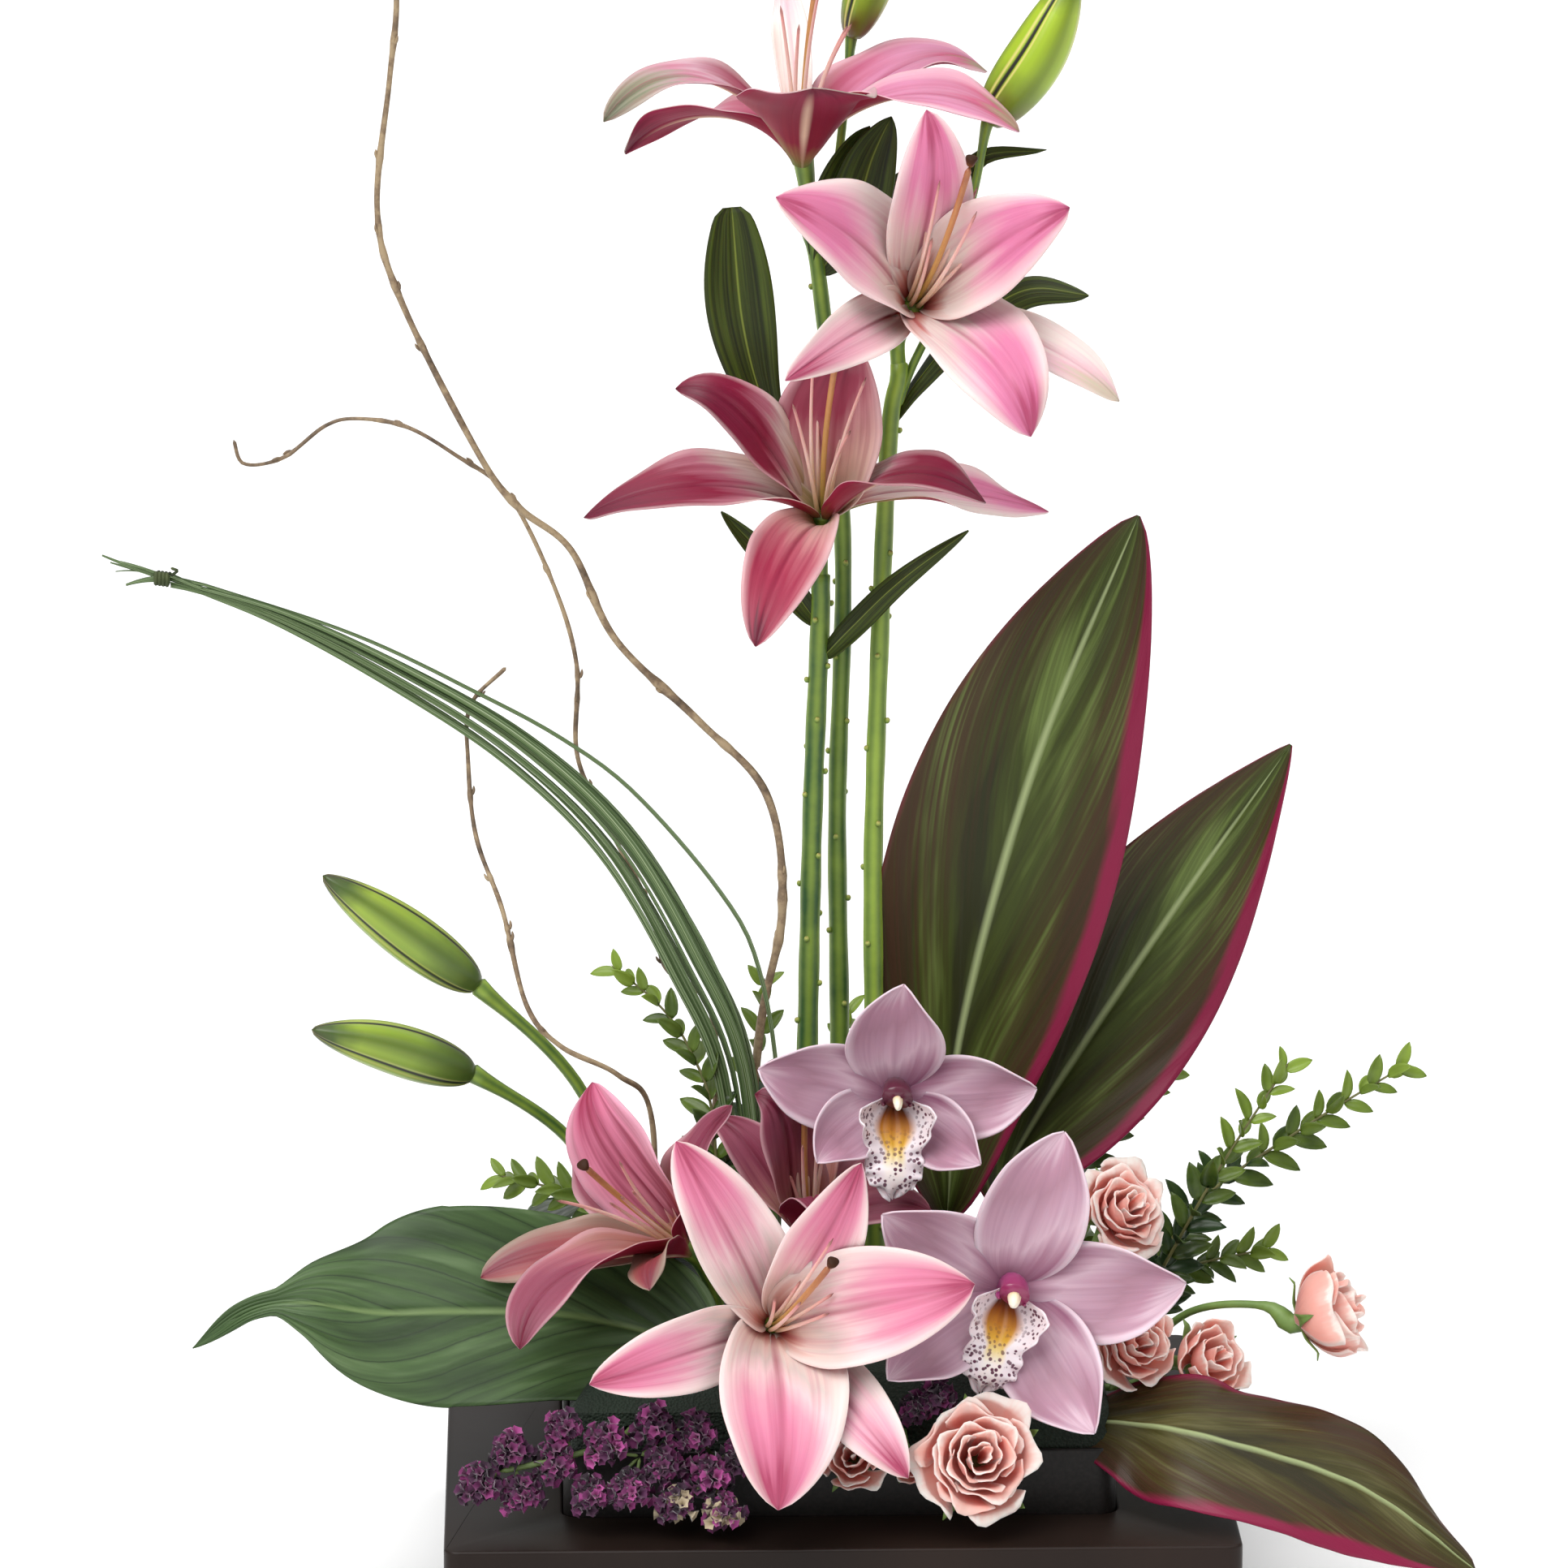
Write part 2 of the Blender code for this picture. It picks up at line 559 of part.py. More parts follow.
def low_flowers():
    pink = material("Lily petal", LILY_PINK, 0.5)
    mauve = material("Orchid petal", ORCHID_MAUVE, 0.5)
    bud_look = material("Lily bud", BUD_GREEN, 0.4)
    planted_flower(
        "lily_bloom_front", (-2.6, -8.5, 12.9), (0.12, -0.95, 0.3),
        [
            ((-6.2, -11.1, 20.8), 1.5, 0.2), ((-9.5, -14.4, 12.3), 1.4, 0.45), ((-2.5, -16.2, 7.9), 1.4, 0.45),
            ((2.3, -15.2, 8.8), 1.3, 0.5), ((4.9, -13.8, 15.9), 1.5, 0.3), ((0.7, -12.6, 20.3), 1.4, 0.2),
        ],
        0.55, ((-2.6, -6.2, 6.4), (-2.6, -6.4, 11.9), (-2.6, -7.6, 12.7)), 0.3, pink,
    )
    planted_flower(
        "lily_bloom_left", (-5.6, -5.0, 14.9), (-0.66, -0.42, 0.62),
        [
            ((-9.2, -8.0, 22.3), 1.5, 0.2), ((-9.8, -1.4, 18.4), 1.2, 0.3), ((-13.6, -8.2, 15.8), 1.3, 0.4),
            ((-12.1, -11.6, 13.2), 1.35, 0.45), ((-7.0, -11.2, 14.6), 1.1, 0.3), ((-4.0, -6.4, 21.0), 1.1, 0.2),
        ],
        0.55, ((-4.4, -3.6, 6.4), (-4.5, -3.8, 12.0), (-5.1, -4.6, 14.2)), 0.3, pink,
    )
    planted_flower(
        "lily_bloom_back", (-0.9, -2.6, 14.6), (-0.1, -0.5, 0.86),
        [
            ((-3.1, -5.4, 21.2), 1.2, 0.25), ((-4.6, -1.9, 19.4), 1.1, 0.3), ((-0.6, 0.4, 20.8), 1.0, 0.1),
            ((3.2, 0.2, 18.6), 1.1, 0.35), ((3.6, -5.6, 16.6), 1.1, 0.45), ((-0.7, -8.8, 17.2), 1.1, 0.45),
        ],
        0.55, ((-0.9, -1.6, 6.4), (-0.9, -1.7, 12.0), (-0.9, -2.2, 13.8)), 0.3, pink,
    )
    planted_flower(
        "orchid_upper", (2.2, -4.9, 20.9), (0.05, -0.99, 0.12),
        [
            ((2.5, -6.9, 25.8), 1.7, 0.15), ((-3.0, -6.3, 22.4), 1.5, 0.15), ((-0.8, -7.4, 19.0), 1.2, 0.1),
            ((2.0, -8.6, 18.2), 1.0, 0.2), ((5.4, -7.8, 19.0), 1.2, 0.1), ((7.6, -6.0, 21.5), 1.5, 0.15),
        ],
        0.4, ((2.4, -2.6, 6.4), (2.4, -2.6, 13.0), (2.3, -3.6, 20.0)), 0.22, mauve,
    )
    planted_flower(
        "orchid_lower", (6.3, -9.9, 14.6), (0.1, -0.99, 0.05),
        [
            ((8.4, -10.8, 21.0), 1.8, 0.15), ((1.5, -12.2, 18.2), 1.6, 0.15), ((1.7, -13.0, 12.0), 1.6, 0.2),
            ((6.0, -13.6, 11.2), 1.0, 0.2), ((9.5, -12.8, 9.8), 1.8, 0.2), ((13.0, -11.2, 15.2), 1.8, 0.15),
        ],
        0.4, ((6.0, -6.0, 6.4), (6.1, -6.2, 12.0), (6.2, -8.4, 14.2)), 0.22, mauve,
    )
    for name, base, tip, radius, stalk in (
        ("lily_bud_low_upper", (-13.6, -1.0, 24.4), (-19.6, -2.0, 29.1), 1.0,
         ((-7.6, 0.7, 6.4), (-7.7, 0.7, 12.0), (-9.5, 0.4, 19.6))),
        ("lily_bud_low_lower", (-13.8, 0.0, 20.7), (-20.1, -1.5, 22.9), 1.0,
         ((-8.4, 2.3, 6.4), (-8.4, 2.2, 12.0), (-9.9, 1.4, 17.4))),
    ):
        plant(points_of(*stalk), 0.24)
        bud(name, base, tip, radius, stalk, 0.24, bud_look)


ROSES = (
    # name, centre, facing, radius, stalk
    ("rose_front", (5.1, -13.6, 9.1), (0.1, -0.9, 0.35), 2.5, ((4.9, -8.0, 9.4), (4.9, -10.9, 9.2))),
    ("rose_front_small", (0.4, -12.2, 8.8), (-0.1, -0.85, 0.4), 1.45, ((0.4, -8.0, 9.4), (0.4, -10.6, 9.3))),
    ("rose_front_tiny", (2.6, -11.9, 8.4), (0.0, -0.9, 0.3), 0.8, ((2.4, -8.0, 9.3), (2.4, -10.7, 9.1))),
    ("rose_right_upper", (11.0, -5.6, 16.6), (0.4, -0.75, 0.5), 2.0, ((8.4, -4.6, 6.4), (8.5, -4.6, 12.0), (9.6, -4.9, 14.4))),
    ("rose_right_mid", (11.3, -8.2, 12.0), (0.3, -0.85, 0.35), 1.6, ((8.3, -7.4, 6.4), (8.5, -7.4, 11.8))),
    ("rose_right_low", (14.2, -7.2, 11.1), (0.5, -0.75, 0.4), 1.5, ((7.9, -5.6, 9.5), (11.0, -5.8, 9.7), (12.8, -6.4, 10.6))),
    ("rose_side", (18.7, -7.4, 13.0), (0.85, -0.45, 0.2), 1.8, ((7.5, -3.0, 9.5), (10.9, -3.3, 9.8), (13.6, -5.4, 12.5), (16.3, -6.8, 13.1))),
)


def roses():
    look = material("Rose petal", ROSE_PINK, 0.5)
    for name, centre, facing, radius, stalk in ROSES:
        plant(points_of(*stalk), 0.16)
        rose(name, centre, facing, radius, stalk, look)


def statice():
    look = material("Statice floret", STATICE_PURPLE, 0.8)
    for name, stalk, heads in (
        ("statice_far", ((-7.6, -7.6, 9.4), (-8.2, -10.9, 9.3), (-10.2, -12.2, 8.9), (-13.0, -12.6, 8.4)),
         ((-13.6, -12.6, 8.0, 0.85), (-12.2, -12.4, 9.2, 0.75), (-10.6, -12.2, 8.4, 0.9))),
        ("statice_middle", ((-5.9, -7.8, 9.4), (-6.3, -10.9, 9.2), (-7.6, -12.3, 8.9)),
         ((-7.0, -12.0, 9.7, 0.8), (-8.5, -12.6, 8.0, 0.9))),
        ("statice_near", ((-3.9, -8.0, 9.4), (-4.1, -10.9, 9.0), (-4.9, -12.2, 8.2)),
         ((-5.6, -12.0, 9.2, 0.7), (-5.6, -12.9, 7.8, 0.9), (-4.0, -12.5, 7.7, 0.85))),
        ("statice_right", ((3.7, -7.9, 9.7), (3.7, -10.7, 10.2)),
         ((3.7, -11.4, 10.8, 0.65),)),
    ):
        plant(points_of(*stalk), 0.14)
        floret_spray(name, stalk, heads, look)


# ---------------------------------------------------------------- leaves and lines


def planted_leaf(name, points, half_width, edge, look, **shape):
    plant(points_of(*points), 0.34)
    finish(leaf(points_of(*points), half_width, edge, **shape), name, look)


def broad_leaves():
    ti = material("Ti leaf", TI_GREEN, 0.35)
    plain = material("Broad leaf", "2F4A36", 0.35)
    planted_leaf("ti_leaf_tall", ((4.6, 5.2, 5.4), (4.6, 5.2, 12.2), (5.4, 4.8, 21.2), (7.4, 4.6, 32.0), (11.9, 4.4, 41.8)), 4.4, (1, 0.1, -0.2), ti, bare=9.0, blunt=0.8, along=12)
    planted_leaf("ti_leaf_mid", ((6.6, 1.4, 5.4), (6.6, 1.4, 12.2), (7.6, 1.2, 18.2), (12.4, 1.0, 27.0), (17.9, 1.0, 33.3)), 3.7, (0.8, 0.1, -0.6), ti, bare=9.0, blunt=0.8, along=12)
    planted_leaf("ti_leaf_low", ((7.2, -9.2, 9.3), (10.9, -9.8, 9.3), (14.0, -11.6, 9.2), (19.5, -12.0, 7.4), (24.0, -12.0, 4.1)), 3.0, (0.1, 0.8, 0.6), ti, bare=4.4, blunt=0.8, along=10)
    planted_leaf("broad_leaf_left", ((-7.0, -6.2, 6.0), (-7.3, -6.2, 12.4), (-10.4, -6.2, 12.7), (-16.0, -6.6, 13.0), (-20.4, -6.6, 12.5), (-24.6, -6.4, 11.6)), 4.1, (0.0, 0.6, 0.8), plain, bare=8.2, blunt=0.75, along=12)
    planted_leaf("broad_leaf_back", ((-3.0, 7.6, 5.4), (-3.0, 7.6, 12.0), (-4.6, 9.4, 13.4), (-8.4, 12.0, 12.8), (-12.6, 15.2, 9.4)), 3.6, (0.6, 0.7, 0.1), plain, bare=8.0, blunt=0.8, along=10)
    planted_leaf("broad_leaf_back_low", ((-1.0, 7.2, 9.4), (-1.0, 10.9, 9.4), (-1.0, 14.2, 9.8), (-0.6, 18.0, 8.2), (-0.4, 21.0, 5.0)), 3.2, (1, 0.1, 0.2), plain, bare=4.4, blunt=0.8, along=10)
    planted_leaf("ti_leaf_back", ((4.6, 8.0, 5.4), (4.6, 8.0, 12.0), (5.6, 10.4, 15.4), (8.6, 14.0, 17.2), (12.2, 16.8, 15.6)), 3.8, (0.7, -0.5, 0.1), ti, bare=8.0, blunt=0.8, along=10)


def grass():
    look = material("Bear grass", "8FA070", 0.5)
    bundle = ((-3.1, 0.2, 6.0), (-3.1, 0.2, 12.0), (-3.6, 0.0, 20.5), (-5.5, 0.0, 25.3), (-8.3, 0.0, 30.1), (-12.0, 0.0, 33.7), (-16.4, 0.0, 36.5), (-21.0, 0.0, 38.8), (-24.9, 0.0, 40.1))
    plant(points_of(*bundle), 0.34)
    finish(tube(points_of(*bundle), 0.34 * CM, 0.22 * CM, per_span=2), "bear_grass_bundle", look)
    outer = ((-2.1, -0.2, 6.0), (-2.1, -0.2, 12.0), (-2.5, -0.2, 20.0), (-4.6, 0.0, 26.4), (-8.0, 0.0, 32.0), (-12.5, 0.0, 36.0), (-18.0, 0.0, 38.4), (-24.6, 0.0, 40.55))
    plant(points_of(*outer), 0.3)
    finish(leaf(points_of(*outer), 0.2, (0.5, 0.0, 0.9), stalk=0.2, along=16, blunt=0.4), "bear_grass_outer", look)
    knot = baked(tube(points_of((-24.93, 0.0, 40.11), (-25.3, 0.0, 40.25), (-26.4, 0.0, 40.7), (-27.9, 0.0, 41.2)), 0.3 * CM, 0.1 * CM, per_span=2))
    finish(knot, "grass_tie", material("Grass tie", "9A8E5C", 0.6))


def willow():
    look = material("Willow bark", BARK_BROWN, 0.6)
    for name, radius_start, radius_end, route in (
        ("willow_main", 0.2, 0.1, (
            (-3.6, 1.8, 6.0), (-3.5, 1.7, 12.0), (-2.8, 1.2, 21.8), (-1.9, 0.9, 27.0), (-2.5, 1.0, 31.5), (-5.1, 1.0, 34.4),
            (-8.3, 1.1, 37.6), (-10.0, 1.2, 41.1), (-12.0, 1.0, 42.8), (-13.5, 0.8, 44.9), (-16.4, 0.8, 50.8),
            (-17.3, 1.0, 54.3), (-16.8, 1.3, 59.2), (-16.5, 1.2, 62.3), (-16.7, 1.0, 66.0), (-17.6, 0.8, 69.0), (-17.4, 0.6, 71.4))),
        ("willow_curl", 0.14, 0.07, (
            (-5.0, 3.2, 6.0), (-4.9, 3.0, 12.0), (-4.5, 2.4, 21.9), (-6.4, 2.1, 24.5), (-7.0, 2.0, 26.8), (-8.7, 2.0, 30.3),
            (-9.8, 2.1, 32.9), (-9.8, 2.3, 36.4), (-10.7, 2.3, 39.6), (-12.4, 2.1, 43.1), (-14.4, 1.8, 44.7), (-16.3, 1.9, 45.8),
            (-18.2, 2.0, 46.1), (-19.4, 2.1, 45.8), (-21.0, 2.0, 44.6), (-22.5, 1.8, 44.4), (-22.9, 1.7, 45.4))),
        ("willow_short", 0.14, 0.08, (
            (-6.4, -0.6, 6.0), (-6.3, -0.7, 12.0), (-6.2, -1.2, 20.3), (-8.3, -1.8, 21.3), (-10.5, -2.0, 22.3), (-11.8, -1.9, 23.9),
            (-12.7, -0.9, 27.4), (-13.7, 0.4, 30.0), (-14.0, 1.2, 32.8), (-13.9, 1.3, 35.0), (-12.5, 1.4, 36.5))),
    ):
        points = points_of(*route)
        plant(points, radius_start)
        finish(tube(points, radius_start * CM, radius_end * CM, resolution=0, per_span=2), name, look)


def myrtle():
    look = material("Myrtle leaf", "2E4A26", 0.4)
    for name, leaves, route in (
        ("myrtle_left_tall", 10, ((-4.4, -0.9, 6.4), (-4.4, -0.8, 12.0), (-4.6, -0.3, 18.8), (-5.4, 0.2, 21.4), (-6.6, 0.6, 23.2), (-8.6, 0.8, 24.9))),
        ("myrtle_left_small", 8, ((-2.6, 4.6, 6.4), (-2.6, 4.6, 12.0), (-2.8, 4.4, 18.5), (-2.5, 4.2, 23.6))),
        ("myrtle_right_tall", 10, ((7.6, -0.6, 9.4), (10.9, -0.8, 9.7), (12.9, -2.2, 13.7), (14.8, -3.0, 17.5), (17.5, -3.0, 21.8))),
        ("myrtle_right_long", 10, ((7.6, 1.4, 9.4), (10.9, 1.2, 9.8), (14.1, 0.0, 15.2), (17.9, -0.6, 18.3), (22.3, -1.0, 21.2))),
        ("myrtle_right_low", 8, ((7.6, 3.2, 9.4), (10.9, 3.4, 9.6), (13.6, 2.4, 12.0), (17.2, 1.4, 13.2))),
        ("myrtle_back_left", 10, ((-7.4, 6.4, 6.4), (-7.4, 6.4, 12.0), (-9.4, 7.2, 13.8), (-13.0, 8.2, 14.6))),
        ("myrtle_back_middle", 10, ((0.8, 7.8, 6.4), (0.8, 7.8, 12.0), (1.0, 9.6, 16.4), (1.0, 12.4, 20.4))),
        ("myrtle_back_low_left", 8, ((-6.0, 7.4, 9.4), (-6.2, 10.9, 9.5), (-7.2, 14.2, 9.2), (-9.0, 17.6, 8.4))),
        ("myrtle_back_low_right", 8, ((6.0, 7.0, 9.4), (6.2, 10.9, 9.5), (8.6, 13.4, 10.0), (12.4, 14.6, 10.4))),
        ("myrtle_back_right", 10, ((8.2, 5.0, 6.4), (8.2, 5.0, 12.0), (10.2, 5.6, 16.0), (13.4, 6.6, 19.2))),
    ):
        plant(points_of(*route), 0.11)
        sprig(name, route, leaves, 2.2, 0.42, look, start=0.45)


# ---------------------------------------------------------------- the whole

sockets = []


def plant(points, radius):
    """Notes the straight foot of a stem, so that the foam gets a socket for it. radius is in centimetres."""
    sockets.append((points[0], points[1], radius * CM))


def main():
    global parts, helpers
    clear_scene()
    parts = new_collection("floral_arrangement")
    helpers = new_collection("helpers")
    tall_column()
    stem_leaves()
    low_flowers()
    roses()
    statice()
    broad_leaves()
    grass()
    willow()
    myrtle()
    planter()
    dish()
    foam()


main()
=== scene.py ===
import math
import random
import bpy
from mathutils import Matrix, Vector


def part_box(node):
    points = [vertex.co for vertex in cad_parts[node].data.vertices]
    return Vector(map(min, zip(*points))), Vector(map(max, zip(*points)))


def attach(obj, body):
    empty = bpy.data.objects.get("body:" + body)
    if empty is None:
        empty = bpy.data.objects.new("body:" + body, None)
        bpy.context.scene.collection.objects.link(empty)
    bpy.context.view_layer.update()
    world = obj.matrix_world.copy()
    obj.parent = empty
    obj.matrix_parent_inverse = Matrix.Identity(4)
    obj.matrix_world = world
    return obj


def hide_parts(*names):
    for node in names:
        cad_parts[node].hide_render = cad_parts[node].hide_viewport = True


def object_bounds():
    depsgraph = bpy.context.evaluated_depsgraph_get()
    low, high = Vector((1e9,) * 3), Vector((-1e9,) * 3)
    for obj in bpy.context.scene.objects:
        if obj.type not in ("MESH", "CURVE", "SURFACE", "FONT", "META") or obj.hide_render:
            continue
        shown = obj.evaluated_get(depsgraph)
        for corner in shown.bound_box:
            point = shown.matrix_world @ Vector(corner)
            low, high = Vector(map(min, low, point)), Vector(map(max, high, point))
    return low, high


bl_info = {
    "name": "Floral arrangement",
    "version": (1, 0, 0),
    "blender": (4, 5, 0),
    "location": "View3D > Sidebar > Flowers",
    "description": "Builds lilies, orchids, roses, leaves, grass and willow in a low square planter",
    "category": "Object",
}

import bmesh
import bpy
import numpy as np
from mathutils import Matrix, Vector

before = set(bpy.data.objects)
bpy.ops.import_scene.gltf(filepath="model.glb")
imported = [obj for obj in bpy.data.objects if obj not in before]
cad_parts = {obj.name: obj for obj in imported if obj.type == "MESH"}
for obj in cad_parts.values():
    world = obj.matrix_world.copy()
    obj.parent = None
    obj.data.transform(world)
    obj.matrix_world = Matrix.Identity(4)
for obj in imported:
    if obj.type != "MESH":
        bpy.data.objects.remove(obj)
CAD_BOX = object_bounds()

CM = 0.01  # a florist's lengths are in centimetres
GOLDEN_TURN = 2.4  # radians from one leaf, petal or floret to the next
COLOUR = {"subtype": "COLOR_GAMMA", "size": 3, "min": 0.0, "max": 1.0}


# ---- colour and shader nodes


def gamma(colour):
    """An sRGB hex colour as the three numbers that a colour setting holds."""
    return tuple(int(colour[i : i + 2], 16) / 255 for i in (0, 2, 4))


def linear(colour):
    """An sRGB hex colour as scene-linear RGBA."""
    channels = (c / 12.92 if c <= 0.04045 else ((c + 0.055) / 1.055) ** 2.4 for c in gamma(colour))
    return (*channels, 1.0)


def as_hex(setting):
    """A colour setting as sRGB hex."""
    return "".join(f"{round(255 * min(max(channel, 0), 1)):02X}" for channel in setting)


def between(first, second, share=0.5):
    """The sRGB hex colour some share of the way from one hex colour to another."""
    return as_hex([a + (b - a) * share for a, b in zip(gamma(first), gamma(second))])


def add(tree, kind, settings, wires=()):
    """Adds one shader node. A setting is a property or a socket's value. A wire comes from a socket or from
    a node's first output."""
    made = tree.nodes.new("ShaderNode" + kind)
    for key, value in settings.items():
        if isinstance(key, int) or not hasattr(made, key):
            made.inputs[key].default_value = linear(value) if isinstance(value, str) else value
        else:
            setattr(made, key, value)
    for key, source in dict(wires).items():
        tree.links.new(source.outputs[0] if hasattr(source, "outputs") else source, made.inputs[key])
    return made


def ramp(tree, factor, stops):
    """A ramp over a factor. A stop: its place, then a grey, a hex colour, or two of them and a share."""
    made = add(tree, "ValToRGB", {}, {0: factor})
    elements = made.color_ramp.elements
    elements.remove(elements[-1])
    for number, (place, *colour) in enumerate(stops):
        stop = elements.new(place) if number else elements[0]
        stop.position = place
        value = between(*colour) if len(colour) > 1 else colour[0]
        stop.color = linear(value) if isinstance(value, str) else (value, value, value, 1.0)
    return made


def maths(tree, operation, *terms):
    """One sum on numbers and on what nodes give."""
    numbers = {k: term for k, term in enumerate(terms) if isinstance(term, (int, float))}
    wires = {k: term for k, term in enumerate(terms) if k not in numbers}
    return add(tree, "Math", {"operation": operation, **numbers}, wires)


def tinted(tree, under, tint, share):
    """A hex colour laid over what is under it, as strongly as share says from place to place."""
    return add(tree, "MixRGB", {2: tint}, {0: share, 1: under})


def noise(tree, place, scale, **settings):
    """Noise over coordinates that are stretched by scale."""
    stretched = add(tree, "Mapping", {"Scale": scale}, {0: place})
    return add(tree, "TexNoise", {"Scale": 1.0, **settings}, {0: stretched})


def solid(tree, kind, **settings):
    """A texture that runs through the whole piece, in the object's own coordinates."""
    place = add(tree, "TexCoord", {})
    sockets = {key.title(): value for key, value in settings.items()}
    return add(tree, "Tex" + kind, sockets, {"Vector": place.outputs["Object"]})


def own_place(tree):
    """How far across or round its sheet or stem a point is, and how far along it, both from 0 to 1."""
    parts = add(tree, "SeparateXYZ", {}, {0: add(tree, "UVMap", {"uv_map": "UVMap"})})
    return parts.outputs[0], parts.outputs[1]


def from_middle(tree, across):
    """The place across a sheet as -1 to 1, and how far that is from its midrib."""
    centred = maths(tree, "MULTIPLY_ADD", across, 2.0, -1.0)
    return centred, maths(tree, "ABSOLUTE", centred)


def tone_of(tree):
    """The number that tells one petal, leaf or blade from the next."""
    return add(tree, "Attribute", {"attribute_name": "tone"}).outputs["Fac"]


def wire(tree, shader, colour, height=None, strength=0.0, depth=0.0):
    """Gives a shader its colour and, where there is a height, a bump with its depth in metres."""
    tree.links.new(colour.outputs[0], shader.inputs["Base Color"])
    if height:
        bump = add(tree, "Bump", {"Strength": strength, "Distance": depth}, {"Height": height})
        tree.links.new(bump.outputs[0], shader.inputs["Normal"])


def new_material(name, **surface):
    """A material with only its shader, whose sockets take the values given, and its tree of nodes."""
    made = bpy.data.materials.new(name)
    made.use_nodes = True
    tree = made.node_tree
    shader = tree.nodes["Principled BSDF"]
    for key, value in surface.items():
        socket = key.replace("_", " ").title().replace("Ior", "IOR")
        shader.inputs[socket].default_value = linear(value) if isinstance(value, str) else value
    return made, tree, shader


# ---- modelling helpers


def deselect():
    """Leaves edit mode and clears the selection."""
    if bpy.context.mode != "OBJECT":
        bpy.ops.object.mode_set(mode="OBJECT")
    bpy.ops.object.select_all(action="DESELECT")


def unit(rows):
    """Vectors scaled to length 1."""
    return rows / np.linalg.norm(rows, axis=-1, keepdims=True)


def away(line, axis):
    """The direction in which a line leads away from an axis."""
    return unit(line - axis * line.dot(axis))


def hump(x, width):
    """A smooth hump, 1 in its middle."""
    return np.exp(-((x / width) ** 2))


def rise(v, start, length):
    """0 up to start, then straight up to 1."""
    return np.clip((v - start) / length, 0, 1)


def half_sine(v, start=0.0):
    """From 0 at the foot over 1 in the middle to 0 at the tip. start leaves the foot open."""
    return np.sin(np.pi * np.clip(v, start, 1))


def evenly(route, count):
    """count + 1 places spaced evenly by length along a route."""
    steps = np.linalg.norm(np.diff(route, axis=0), axis=1)
    run = np.concatenate([[0.0], np.cumsum(steps)])
    want = np.linspace(0.0, run[-1], count + 1)
    return np.stack([np.interp(want, run, route[:, k]) for k in range(3)], axis=1)


def through(points, count):
    """A smooth curve through points given in centimetres, as count + 1 even places in metres."""
    knots = np.array(points, float) * CM
    knots = np.vstack([2 * knots[0] - knots[1], knots, 2 * knots[-1] - knots[-2]])
    t = np.linspace(0, 1, 12, endpoint=False)[:, None]
    spans = [
        0.5 * (2 * b + (c - a) * t + (2 * a - 5 * b + 4 * c - d) * t**2 + (3 * b - a - 3 * c + d) * t**3)
        for a, b, c, d in zip(knots, knots[1:], knots[2:], knots[3:])
    ]
    return evenly(np.vstack([*spans, knots[-2:-1]]), count)


def bowed(start, middle, end, count):
    """A bow of count places from start to end, drawn towards middle."""
    t = np.linspace(0, 1, count)[:, None]
    return start * (1 - t) ** 2 + middle * 2 * t * (1 - t) + end * t**2


def rows_at(rows, v):
    """Rows of vectors read off at v, from 0 to 1 along them."""
    steps = np.linspace(0, 1, len(rows))
    return np.stack([np.interp(v, steps, rows[:, k]) for k in range(3)], axis=1)


def bell(v, widest, sharp, claw=0.0):
    """A petal's outline: 0 at foot and tip, 1 where it is widest. A claw keeps its foot open."""
    rise = sharp * widest / (1 - widest)
    v = np.clip(v, 0.0, 1.0)
    peak = widest**rise * (1 - widest) ** sharp
    return np.maximum(v**rise * (1 - v) ** sharp / peak, claw * (1 - v) ** 2)


def grid(across, along, place, tone=0.5):
    """A subdivided plane. place puts its points, for s from -1 to 1 across and v from 0 to 1 along it."""
    deselect()
    bpy.ops.mesh.primitive_grid_add(x_subdivisions=across, y_subdivisions=along, size=2)
    made = bpy.context.object
    flat = np.empty(len(made.data.vertices) * 3)
    made.data.vertices.foreach_get("co", flat)
    flat = flat.reshape(-1, 3)
    made.data.vertices.foreach_set("co", place(flat[:, 0], (flat[:, 1] + 1) / 2).ravel())
    attribute = made.data.attributes.new("tone", "FLOAT", "POINT")
    attribute.data.foreach_set("value", np.full(len(flat), tone, np.float32))
    made.data.update()
    return made


def level(value):
    """A number as a function of v, so that a shape takes either."""
    return value if callable(value) else lambda v: np.full_like(v, value)


def blade(spine, edge, half, across, along, cup, roll=0.0, relief=None, tone=0.5):
    """A petal or leaf along a spine. Its face looks along edge x spine, half is its half width in
    centimetres, cup the angle it is bent to across, roll how far it turns about its spine and relief its
    height in centimetres."""
    spine = evenly(spine, along)
    ahead = unit(np.gradient(spine, axis=0))
    side = np.broadcast_to(np.array(edge, float), spine.shape)
    side = unit(side - ahead * (side * ahead).sum(axis=1, keepdims=True))
    face = np.cross(side, ahead)
    half, cup, roll = level(half), level(cup), level(roll)

    def place(s, v):
        out, up, turn = rows_at(side, v), rows_at(face, v), roll(v)[:, None]
        out, up = out * np.cos(turn) + up * np.sin(turn), up * np.cos(turn) - out * np.sin(turn)
        bend = cup(v) + 1e-6
        width = half(v) * CM
        x = width * np.sin(s * bend) / bend
        z = width * (1 - np.cos(s * bend)) / bend
        if relief:
            z = z + relief(s, v) * CM
        return rows_at(spine, v) + out * x[:, None] + up * z[:, None]

    return grid(across, along, place, tone)


def carried(spine):
    """Two directions across a route, carried along it without twisting."""
    ahead = unit(np.gradient(spine, axis=0))
    first = np.cross(ahead[0], [0.31, 0.95, 0.05])
    firsts = [first / np.linalg.norm(first)]
    for line in ahead[1:]:
        kept = firsts[-1] - line * firsts[-1].dot(line)
        firsts.append(kept / np.linalg.norm(kept))
    firsts = np.array(firsts)
    return firsts, np.cross(ahead, firsts)


